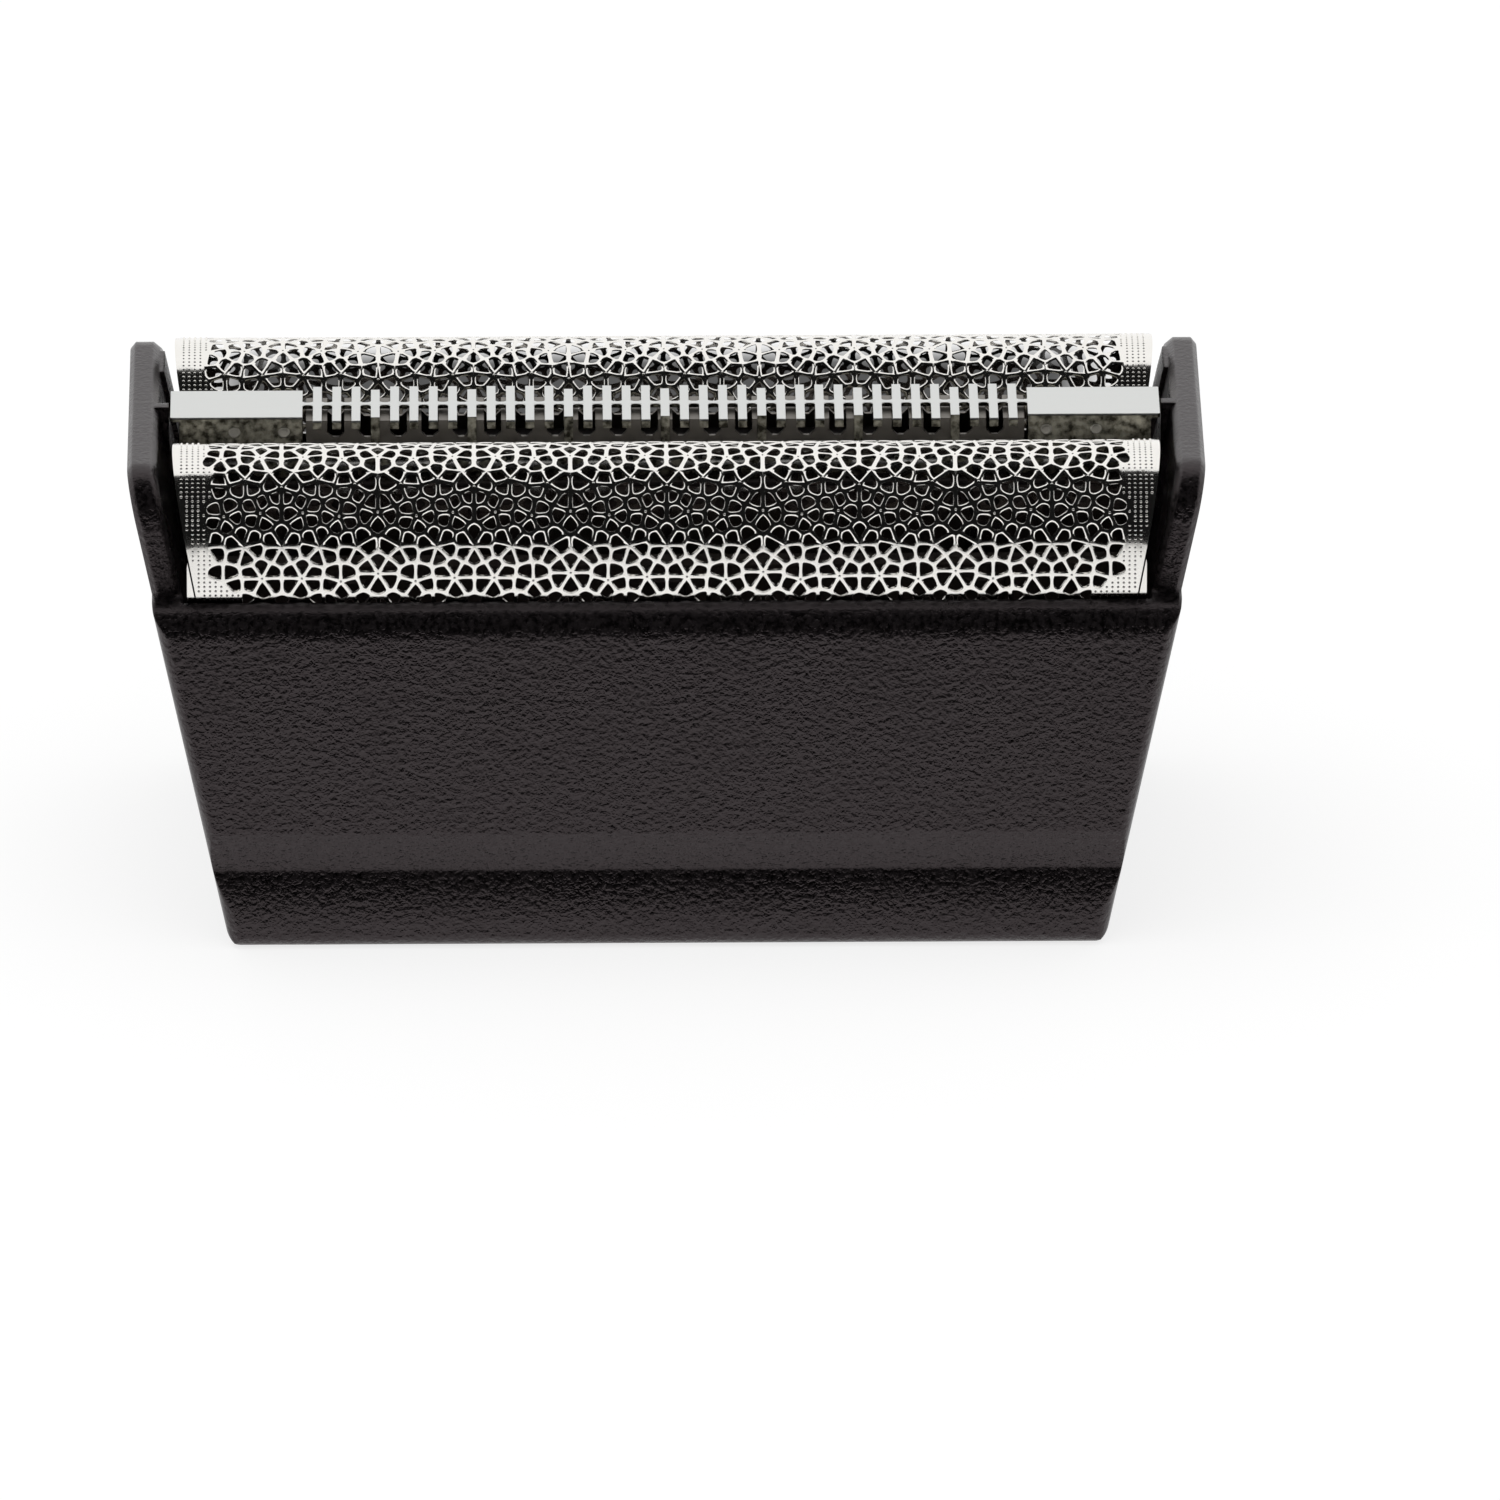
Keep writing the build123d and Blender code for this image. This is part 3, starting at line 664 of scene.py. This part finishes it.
def crease_webs(mesh):
    """Crease a foil's mesh along the cutting edges of its webs, the shoulders of those on the flanks, and
    round its plain cells, which are made of triangles. All else is smooth, so that the webs shade as
    round."""
    sizes = np.empty(len(mesh.polygons), dtype=np.int32)
    mesh.polygons.foreach_get("loop_total", sizes)
    edge_of_corner = np.empty(len(mesh.loops), dtype=np.int32)
    mesh.loops.foreach_get("edge_index", edge_of_corner)
    size_of_corner = np.repeat(sizes, sizes)
    smallest = np.full(len(mesh.edges), sizes.max())
    largest = np.zeros(len(mesh.edges), dtype=int)
    np.minimum.at(smallest, edge_of_corner, size_of_corner)
    np.maximum.at(largest, edge_of_corner, size_of_corner)
    creased = np.empty(len(mesh.vertices), dtype=np.int32)
    mesh.attributes["creased"].data.foreach_get("value", creased)
    ends = np.empty(2 * len(mesh.edges), dtype=np.int32)
    mesh.edges.foreach_get("vertices", ends)
    ends = creased[ends.reshape(-1, 2)]
    along_ring = (ends[:, 0] == ends[:, 1]) & (ends[:, 0] > 0)
    mesh.edges.foreach_set("use_edge_sharp", along_ring | (smallest != largest))
    mesh.attributes.remove(mesh.attributes["creased"])


dull_share = 0.93


def plated_metal(name, colour, rough, streak, drift):
    """Bright metal whose roughness and colour drift with a noise, which can be drawn out into streaks."""
    material = bpy.data.materials.new(name)
    material.use_nodes = True
    tree = material.node_tree
    shader = tree.nodes["Principled BSDF"]
    shader.inputs["Metallic"].default_value = 1.0
    place = add_node(tree, "ShaderNodeTexCoord")
    stretch = add_node(tree, "ShaderNodeMapping", Scale=streak)
    tree.links.new(place.outputs["Object"], stretch.inputs["Vector"])
    noise = add_node(tree, "ShaderNodeTexNoise", Scale=1.0, Detail=3.0)
    tree.links.new(stretch.outputs["Vector"], noise.inputs["Vector"])
    sheen = add_node(tree, "ShaderNodeMapRange", To_Min=rough - drift, To_Max=rough + drift)
    tree.links.new(noise.outputs["Fac"], sheen.inputs["Value"])
    tree.links.new(sheen.outputs["Result"], shader.inputs["Roughness"])
    tint = add_colour_mix(tree, [part * dull_share for part in colour], colour)
    tree.links.new(noise.outputs["Fac"], tint.inputs["Factor"])
    tree.links.new(colour_output(tint), shader.inputs["Base Color"])
    return material


dot_band = (21.2, 28.2)
dot_steps = (0.317, 0.265)
dot_lowest = 20.4
dot_end_margin = 0.22
dot_web_margin = 0.06
star_margin = 0.6
dot_sides = 8
dot_rings = ((0.088, 0.02), (0.05, 0.01 - dot_height))


def embossed_dots(seeds, kind):
    """Places of the dots: on the end bands an even grid along and round the foil, without those that are
    off the sheet, over an opening or within a web of one, and in the field one on each star."""
    along = np.arange(*dot_band, dot_steps[0])
    down = np.arange(field_inner, quarter + foil_centre - dot_lowest, dot_steps[1])
    grid = np.stack(np.meshgrid(along, down, indexing="ij"), axis=-1).reshape(-1, 2)
    grid = np.concatenate([grid, grid * (-1, 1)])
    inside = np.abs(grid[:, 0]) < foil_half_length(grid[:, 1]) - dot_end_margin
    grid = grid[inside]
    start = stretch_start(grid[:, 1])
    scale = (flat_half - start) / (foil_half_length(grid[:, 1]) - start)
    flat = np.stack([scaled_past(grid[:, 0], start, scale), grid[:, 1]], axis=1)
    gap = np.linalg.norm(flat[:, None] - seeds[None], axis=2)
    nearest = np.argmin(gap, axis=1)
    own = gap[np.arange(len(flat)), nearest]
    apart = np.linalg.norm(seeds[nearest][:, None] - seeds[None], axis=2)
    past_web = (gap**2 - own[:, None] ** 2) / (2 * np.maximum(apart, tiny))
    past_web[:, kind == 0] = np.inf
    clear = (kind[nearest] == 0) & (past_web.min(axis=1) > dot_web_margin)
    stars = star_places[in_field(star_places, star_margin)]
    return np.concatenate([grid[clear], stars])


def dot_caps(places, side):
    """Closed caps for all dots: a base ring sunk into the sheet, a smaller ring near the top, and a crown.
    Gives their points and three arrays of faces: the walls, the crowns and the bases."""
    around = np.arange(dot_sides) * (2 * math.pi / dot_sides)
    count = len(places)
    along = []
    down = []
    depth = []
    for radius, sunk in dot_rings:
        along.append(places[:, :1] + radius * np.cos(around))
        down.append(places[:, 1:] + radius * np.sin(around))
        depth.append(np.full((count, dot_sides), sunk))
    along.append(places[:, :1])
    down.append(places[:, 1:])
    depth.append(np.full((count, 1), -dot_height))
    points = bend_over_arch(*(np.concatenate(block, axis=1) for block in (along, down, depth)), side)
    turn = np.arange(dot_sides)
    following = (turn + 1) % dot_sides
    base = np.arange(count)[:, None] * (2 * dot_sides + 1)
    upper = base + dot_sides
    top = np.broadcast_to(upper + dot_sides, (count, dot_sides))
    walls = np.stack([base + turn, base + following, upper + following, upper + turn], axis=2)
    crowns = np.stack([upper + turn, upper + following, top], axis=2)
    return points.reshape(-1, 3), walls.reshape(-1, 4), crowns.reshape(-1, 3), base + turn[::-1]


foil_nickel = plated_metal(
    "foil_nickel", colour=(0.93, 0.91, 0.87), rough=0.13, streak=(900.0, 900.0, 900.0), drift=0.03
)
flat_points, flat_creases, flat_quads, flat_triangles, opening_seeds, opening_kind = flat_foil()
dot_places = embossed_dots(opening_seeds, opening_kind)
for foil_name, side in (("front_foil", -1), ("rear_foil", 1)):
    bent = bend_foil(flat_points[:, 0], flat_points[:, 1], flat_points[:, 2], side)
    foil_faces = flat_quads[:, ::side].tolist() + flat_triangles[:, ::side].tolist()
    foil = mesh_piece(
        foil_name + "_sheet", bent, foil_faces, foil_nickel, "frame", 180, flat_creases
    )
    crease_webs(foil.data)
    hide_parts(foil_name)
    cap_points, *cap_groups = dot_caps(dot_places, side)
    cap_faces = [face for group in cap_groups for face in group[:, ::side].tolist()]
    mesh_piece(foil_name + "_dots", cap_points, cap_faces, foil_nickel, "frame", 80)

# Corner tabs: small pointed plates of the same nickel, which stand up from the frame in the slanted ends
# of the foils, a narrow slit away from them.
tab_outer = 26.93
tab_foot = 19.5
tab_shoulder = 22.5
tab_top = 22.8
tab_slit = 0.1
tab_sheet = 0.1
tab_ends = np.array([tab_foot, tab_top])
tab_slant = foil_high[0] + tab_slit - (foil_high[2] - tab_ends) * foil_end_slope
tab_outline = np.array(
    [(tab_slant[0], tab_foot), (tab_outer, tab_foot), (tab_outer, tab_shoulder), (tab_slant[1], tab_top)]
)


def corner_tab(end, side):
    """One tab as a closed prism: the outline on two upright planes, joined all round."""
    face = foil_axis + foil_radius
    count = len(tab_outline)
    front = np.stack([end * tab_outline[:, 0], np.full(count, side * face), tab_outline[:, 1]], axis=1)
    back = front - (0, side * tab_sheet, 0)
    turn = np.arange(count)
    following = (turn + 1) % count
    walls = np.stack([turn, following, following + count, turn + count], axis=1)
    outward = -end * side
    faces = walls[:, ::-outward].tolist() + [turn[::outward].tolist(), (turn + count)[::-outward].tolist()]
    return np.concatenate([front, back]) / 1000.0, faces


def one_mesh(shells):
    """Points and faces of several closed shells, numbered on from one shell to the next."""
    points = []
    faces = []
    for shell_points, shell_faces in shells:
        start = sum(len(block) for block in points)
        faces += [[number + start for number in face] for face in shell_faces]
        points.append(shell_points)
    return np.concatenate(points), faces


tab_points, tab_faces = one_mesh([corner_tab(end, side) for end in (-1, 1) for side in (-1, 1)])
mesh_piece("foil_corner_tabs", tab_points, tab_faces, foil_nickel, "frame", 30)

# Trimmer carrier, driver and springs: two black mouldings that hold the blade, a bowed leaf of spring steel
# that presses it up, and two coils of steel wire that let the whole trimmer sink.
carrier_black = moulded_plastic(
    "carrier_black",
    deep=(0.014, 0.013, 0.013),
    pale=(0.024, 0.022, 0.021),
    grain=0.00012,
    height=0.000004,
    soft_edge=0.00012,
    rough=0.45,
    all_over=True,
)
dress("trimmer_carrier", carrier_black)
dress("blade_driver", carrier_black)
spring_steel = plated_metal(
    "spring_steel", colour=(0.56, 0.55, 0.53), rough=0.28, streak=(1500.0, 1500.0, 1500.0), drift=0.06
)
dress("blade_leaf_spring", spring_steel)
coil_turns = 3
coil_steps = 24
coil_wire = 0.36
wire_sides = 8


def coil_wire_mesh(low, high):
    """A coil spring between two corners of its box: a circle carried up a helix, its ends cut off flat."""
    middle = (low + high) / 2
    radius = (high[1] - low[1] - coil_wire) / 2
    rise = high[2] - low[2] - coil_wire
    turn = np.linspace(0, coil_turns, coil_turns * coil_steps + 1)
    angle = 2 * math.pi * turn
    outwards = np.stack([np.cos(angle), np.sin(angle), 0 * angle], axis=1)
    upwards = np.stack([0 * angle, 0 * angle, low[2] + coil_wire / 2 + rise * turn / coil_turns], axis=1)
    wire_line = np.array([middle[0], middle[1], 0.0]) + radius * outwards + upwards
    climb = np.full_like(angle, rise / (2 * math.pi * radius * coil_turns))
    along_wire = np.stack([-np.sin(angle), np.cos(angle), climb], axis=1)
    along_wire /= np.linalg.norm(along_wire, axis=1, keepdims=True)
    across_wire = np.cross(along_wire, outwards)
    round_wire = 2 * math.pi * np.arange(wire_sides) / wire_sides
    points = wire_line[:, None, :] + coil_wire / 2 * (
        np.cos(round_wire)[None, :, None] * outwards[:, None, :]
        + np.sin(round_wire)[None, :, None] * across_wire[:, None, :]
    )
    number = np.arange(points.shape[0] * wire_sides).reshape(-1, wire_sides)
    number_on = np.roll(number, -1, axis=1)
    sides = np.stack([number[:-1], number_on[:-1], number_on[1:], number[1:]], axis=2).reshape(-1, 4)
    ends = [number[0, ::-1].tolist(), number[-1].tolist()]
    return points.reshape(-1, 3) / 1000, sides.tolist() + ends


for end in ("left", "right"):
    coil_low, coil_high = (np.array(corner) * 1000 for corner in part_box(f"{end}_coil_spring"))
    coil_points, coil_faces = coil_wire_mesh(coil_low, coil_high)
    coil = mesh_piece(
        f"{end}_coil_wire", coil_points, coil_faces, spring_steel, "frame", 40
    )
    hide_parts(f"{end}_coil_spring")
    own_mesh(coil)

# Blade: a toothed channel bent from hard steel strip and ground on its top. The driver inside it pushes it
# to and fro under the comb.
grinding_drift = 0.07


def ground_steel(name, colour, rough, streak, scratch, soft_edge):
    """Ground steel: noise drawn out along the head makes fine grinding lines in its roughness and height,
    and the edges are rounded off."""
    material = plated_metal(name, colour, rough, streak, grinding_drift)
    tree = material.node_tree
    noise = [node for node in tree.nodes if node.bl_idname == "ShaderNodeTexNoise"][0]
    add_relief(tree, noise.outputs["Fac"], scratch, soft_edge)
    return material


blade_steel = ground_steel(
    "blade_steel",
    colour=(0.20, 0.185, 0.165),
    rough=0.34,
    streak=(700.0, 9000.0, 9000.0),
    scratch=0.000002,
    soft_edge=0.00006,
)
dress("trimmer_blade", blade_steel)

# Comb: the slotted steel channel over the blade, etched and bent from sheet, satin ground on top.
# Its end bars are spot welded, which leaves two shallow round marks on each side.
comb_steel = ground_steel(
    "comb_steel",
    colour=(0.73, 0.74, 0.725),
    rough=0.36,
    streak=(900.0, 12000.0, 12000.0),
    scratch=0.000002,
    soft_edge=0.00007,
)
# Painted shade on the comb's sides: a blotchy dark grey-brown wherever a face does not look up.
side_shade_scale = 2300.0
side_shade_range = (0.36, 0.66)
side_shade_deep = (0.045, 0.041, 0.030)
side_shade_pale = (0.48, 0.46, 0.38)
upward_range = (0.5, 0.8)


def paint_shade_on_sides(material):
    """Keep a material's colour where a face looks up, and paint the rest darker with a blotchy grey-brown,
    as painted shade.
    """
    tree = material.node_tree
    base_colour = tree.nodes["Principled BSDF"].inputs["Base Color"]
    ground = base_colour.links[0].from_socket
    place = add_node(tree, "ShaderNodeTexCoord")
    noise = add_node(tree, "ShaderNodeTexNoise", Scale=side_shade_scale, Detail=4.0)
    tree.links.new(place.outputs["Object"], noise.inputs["Vector"])
    blotch = add_node(tree, "ShaderNodeMapRange", From_Min=side_shade_range[0], From_Max=side_shade_range[1])
    tree.links.new(noise.outputs["Fac"], blotch.inputs["Value"])
    painted_side_shade = add_colour_mix(tree, side_shade_deep, side_shade_pale)
    tree.links.new(blotch.outputs["Result"], painted_side_shade.inputs["Factor"])
    upward = add_node(tree, "ShaderNodeMapRange", From_Min=upward_range[0], From_Max=upward_range[1])
    tree.links.new(normal_part(tree, "Z"), upward.inputs["Value"])
    colour = add_colour_mix(tree, side_shade_pale, side_shade_pale)
    tree.links.new(upward.outputs["Result"], colour.inputs["Factor"])
    tree.links.new(colour_output(painted_side_shade), colour_inputs(colour)[0])
    tree.links.new(ground, colour_inputs(colour)[1])
    tree.links.new(colour_output(colour), base_colour)


# The comb's sides are painted dark, as shade.
paint_shade_on_sides(comb_steel)
dress("trimmer_comb", comb_steel)
comb_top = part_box("trimmer_comb")[1][2] * 1000.0
slot_pitch = 1.09
slot_count = 38
spine_half = 0.21
spine_flare = 0.42
spine_corner = 4
spine_steps = 12
spine_drop = 0.006
spine_depth = 0.19


def comb_spine():
    """The bar that joins the ribs along the middle of the comb, a grid of places along it and of its four
    corners. Its half width flares towards each rib as a power of a cosine, which rounds the corners of the
    slots. It lies a hair under the ground top."""
    along = np.linspace(-slot_count / 2, slot_count / 2, slot_count * spine_steps + 1)
    half = spine_half + spine_flare * np.cos(math.pi * along) ** spine_corner
    top = np.full_like(along, comb_top - spine_drop)
    corners = [(-half, top), (half, top), (half, top - spine_depth), (-half, top - spine_depth)]
    points = np.stack(
        [np.stack([along * slot_pitch, across, level], axis=1) for across, level in corners], axis=1
    )
    number = np.arange(points.shape[0] * 4).reshape(-1, 4)
    number_on = np.roll(number, -1, axis=1)
    sides = np.stack([number[:-1], number[1:], number_on[1:], number_on[:-1]], axis=2).reshape(-1, 4)
    return points.reshape(-1, 3) / 1000, sides.tolist() + [number[0].tolist(), number[-1, ::-1].tolist()]


spine_points, spine_faces = comb_spine()
mesh_piece("comb_spine", spine_points, spine_faces, comb_steel, "trimmer", 40)

weld_places = (-24.3, -21.5, 21.5, 24.3)
weld_height = comb_top - 0.9
weld_rings = np.array(
    [(0.36, -0.02), (0.33, 0.022), (0.27, 0.03), (0.2, 0.012), (0.1, 0.004), (0.0, 0.012)]
)
weld_steps = 24
comb_side_face = 2.05


def weld_mark(place, side):
    """One spot weld on a side of the comb: a low ring round a shallow dish, as a profile of rings (radius,
    rise) turned about its axis."""
    around = np.arange(weld_steps) * 2 * math.pi / weld_steps
    radius = weld_rings[:, :1]
    rise = np.broadcast_to(weld_rings[:, 1:], (len(weld_rings), weld_steps))
    points = np.stack(
        [
            place + radius * np.cos(around),
            side * (comb_side_face + rise),
            weld_height + radius * np.sin(around),
        ],
        axis=-1,
    ).reshape(-1, 3)
    ring = np.arange(len(weld_rings) * weld_steps).reshape(len(weld_rings), weld_steps)
    closed = np.concatenate([ring, ring[:, :1]], axis=1)
    quads = join_rings(closed[:-1], closed[1:])
    return points / 1000.0, quads[:, ::-side].tolist() + [ring[0, ::side].tolist()]


weld_steel = plated_metal(
    "weld_steel", colour=(0.62, 0.60, 0.54), rough=0.34, streak=(2500.0, 2500.0, 2500.0), drift=0.12
)
weld_points, weld_faces = one_mesh([weld_mark(place, side) for place in weld_places for side in (-1, 1)])
mesh_piece("comb_weld_marks", weld_points, weld_faces, weld_steel, "trimmer", 60)

# Studio: a white floor, a white surround, a soft light overhead, and a dark card in front that only shows
# in reflections, as the dark band in the foils. A shadow is painted on the floor under and behind the head,
# so that the holes of the rear foil look out on a dark floor.
white = (1.0, 1.0, 1.0, 1.0)
floor_reach = 3.0
floor_level = -0.00004
foot_half_depth = 0.0125
foot_blur = 0.001
shadow_behind = 0.92
shadow_start = 0.014
shadow_half = 0.0240
shadow_spread = 0.07
shadow_blur = 0.0015
shadow_blur_spread = 0.045
shadow_end = 0.0768
shadow_end_fade = 0.0045
floor_along = np.concatenate([[-floor_reach], np.linspace(-0.032, 0.032, 129), [floor_reach]])
floor_back = np.concatenate([[-floor_reach], np.linspace(-0.014, 0.078, 93), [floor_reach]])


def shadow_on_floor(along, back):
    """How dark the floor is painted, from 0 to 1. The shadow is as wide as the head's foot and widens
    backwards, its sides blur with the distance from the foot, and its far end fades along an S curve."""
    behind = np.clip(back - shadow_start, 0, None)
    half_width = shadow_half + shadow_spread * behind
    blur = shadow_blur + shadow_blur_spread * behind
    sides = np.clip((half_width - np.abs(along)) / blur, 0, 1)
    far_end = np.clip((shadow_end - back) / shadow_end_fade, 0, 1)
    near_end = np.clip((back + foot_half_depth) / foot_blur, 0, 1)
    deepest = np.where(back < foot_half_depth, 1.0, shadow_behind)
    return deepest * near_end * sides * far_end**2 * (3 - 2 * far_end)


def rays_that_see(tree):
    """A factor that is 1 for camera, glossy and transmission rays, and 0 for the rays that light things."""
    path = tree.nodes.new("ShaderNodeLightPath")
    either = add_math(tree, "MAXIMUM", path.outputs["Is Camera Ray"], path.outputs["Is Glossy Ray"])
    return add_math(tree, "MAXIMUM", either, path.outputs["Is Transmission Ray"])


def add_choice(tree, factor, otherwise, chosen):
    """Add a shader that is one of two by a factor, and give its output."""
    choice = tree.nodes.new("ShaderNodeMixShader")
    tree.links.new(factor, choice.inputs[0])
    tree.links.new(otherwise, choice.inputs[1])
    tree.links.new(chosen, choice.inputs[2])
    return choice.outputs["Shader"]


def add_matt(tree, grey):
    """Add a matt grey and give its shader."""
    return add_node(tree, "ShaderNodeBsdfDiffuse", Color=(grey, grey, grey, 1.0)).outputs["BSDF"]


def add_glow(tree, strength):
    """Add a white glow and give its shader."""
    return add_node(tree, "ShaderNodeEmission", Color=white, Strength=strength).outputs["Emission"]


def floor_paint():
    """The floor's material. It lights the head as matt grey, the camera sees it glow nearly white and take
    soft shadows, metal mirrors it as plain white, and the painted shadow is dark to all."""
    material = bpy.data.materials.new("floor_white")
    material.use_nodes = True
    tree = material.node_tree
    tree.nodes.clear()
    seen = tree.nodes.new("ShaderNodeAddShader")
    tree.links.new(add_matt(tree, 0.34), seen.inputs[0])
    tree.links.new(add_glow(tree, 0.76), seen.inputs[1])
    lit = add_choice(tree, rays_that_see(tree), add_matt(tree, 0.8), seen.outputs["Shader"])
    path = tree.nodes.new("ShaderNodeLightPath")
    unpainted = add_choice(tree, path.outputs["Is Glossy Ray"], lit, add_glow(tree, 1.0))
    shade = tree.nodes.new("ShaderNodeAttribute")
    shade.attribute_name = "shade"
    whole = add_choice(tree, shade.outputs["Fac"], unpainted, add_matt(tree, 0.02))
    output = tree.nodes.new("ShaderNodeOutputMaterial")
    tree.links.new(whole, output.inputs["Surface"])
    return material


floor_x, floor_y = np.meshgrid(floor_along, floor_back)
floor_points = np.stack([floor_x, floor_y, np.full_like(floor_x, floor_level)], axis=2)
floor_number = np.arange(floor_x.size).reshape(floor_x.shape)
floor_quads = join_rings(floor_number[:-1], floor_number[1:])
floor = bpy.data.meshes.new("studio_floor")
floor.from_pydata(floor_points.reshape(-1, 3).tolist(), [], floor_quads.tolist())
floor_shade = floor.attributes.new("shade", "FLOAT", "POINT")
floor_shade.data.foreach_set("value", shadow_on_floor(floor_x, floor_y).ravel().astype(np.float32))
floor.materials.append(floor_paint())
floor_object = bpy.data.objects.new("studio_floor", floor)
bpy.context.scene.collection.objects.link(floor_object)

card_half = 1.2
card_foot = (-0.072, 0.0)
card_head = (0.060, 1.20)
card = bpy.data.meshes.new("dark_card")
card.from_pydata(
    [(-card_half, *card_foot), (card_half, *card_foot), (card_half, *card_head), (-card_half, *card_head)],
    [],
    [(0, 1, 2, 3)],
)
card_black = bpy.data.materials.new("card_black")
card_black.use_nodes = True
card_shader = card_black.node_tree.nodes["Principled BSDF"]
card_shader.inputs["Base Color"].default_value = (0.014, 0.014, 0.014, 1.0)
card_shader.inputs["Roughness"].default_value = 1.0
card_shader.inputs["Specular IOR Level"].default_value = 0.0
card.materials.append(card_black)
card_object = bpy.data.objects.new("dark_card", card)
bpy.context.scene.collection.objects.link(card_object)
card_object.visible_camera = False
card_object.visible_diffuse = False
card_object.visible_shadow = False

world = bpy.data.worlds.new("white_surround")
world.use_nodes = True
world_tree = world.node_tree
world_tree.nodes.clear()
world_light = add_node(world_tree, "ShaderNodeBackground", Color=white, Strength=0.6)
world_seen = add_node(world_tree, "ShaderNodeBackground", Color=white, Strength=1.0)
world_whole = add_choice(
    world_tree,
    rays_that_see(world_tree),
    world_light.outputs["Background"],
    world_seen.outputs["Background"],
)
world_out = world_tree.nodes.new("ShaderNodeOutputWorld")
world_tree.links.new(world_whole, world_out.inputs["Surface"])
bpy.context.scene.world = world

overhead_place = Vector((-0.12, 0.06, 0.75))
overhead_aim = Vector((0.0, 0.0, 0.01))
overhead = bpy.data.lights.new("overhead_softbox", "AREA")
overhead.shape = "SQUARE"
overhead.size = 0.7
overhead.energy = 1.3
overhead_object = bpy.data.objects.new("overhead_softbox", overhead)
overhead_object.location = overhead_place
overhead_object.rotation_euler = (overhead_place - overhead_aim).to_track_quat("Z", "Y").to_euler()
overhead_object.visible_glossy = False
bpy.context.scene.collection.objects.link(overhead_object)

# Camera: a long lens, a little above the head and a touch to its left. The aim and the lens place the head
# in the picture as it stands in the photo.
camera_elevation = math.radians(23.2)
camera_azimuth = math.radians(-0.7)
camera_distance = 1.4
camera_aim = Vector((0.004805, 0.0, 0.006107))
camera_direction = Vector(
    (
        math.sin(camera_azimuth) * math.cos(camera_elevation),
        -math.cos(camera_azimuth) * math.cos(camera_elevation),
        math.sin(camera_elevation),
    )
)
camera = bpy.data.cameras.new("photo_camera")
camera.sensor_width = 36.0
camera.lens = 591.5
camera.clip_start = 0.01
camera.clip_end = 20.0
camera_object = bpy.data.objects.new("photo_camera", camera)
camera_object.location = camera_aim + camera_direction * camera_distance
camera_object.rotation_euler = camera_direction.to_track_quat("Z", "Y").to_euler()
bpy.context.scene.collection.objects.link(camera_object)
bpy.context.scene.camera = camera_object

bpy.context.view_layer.update()
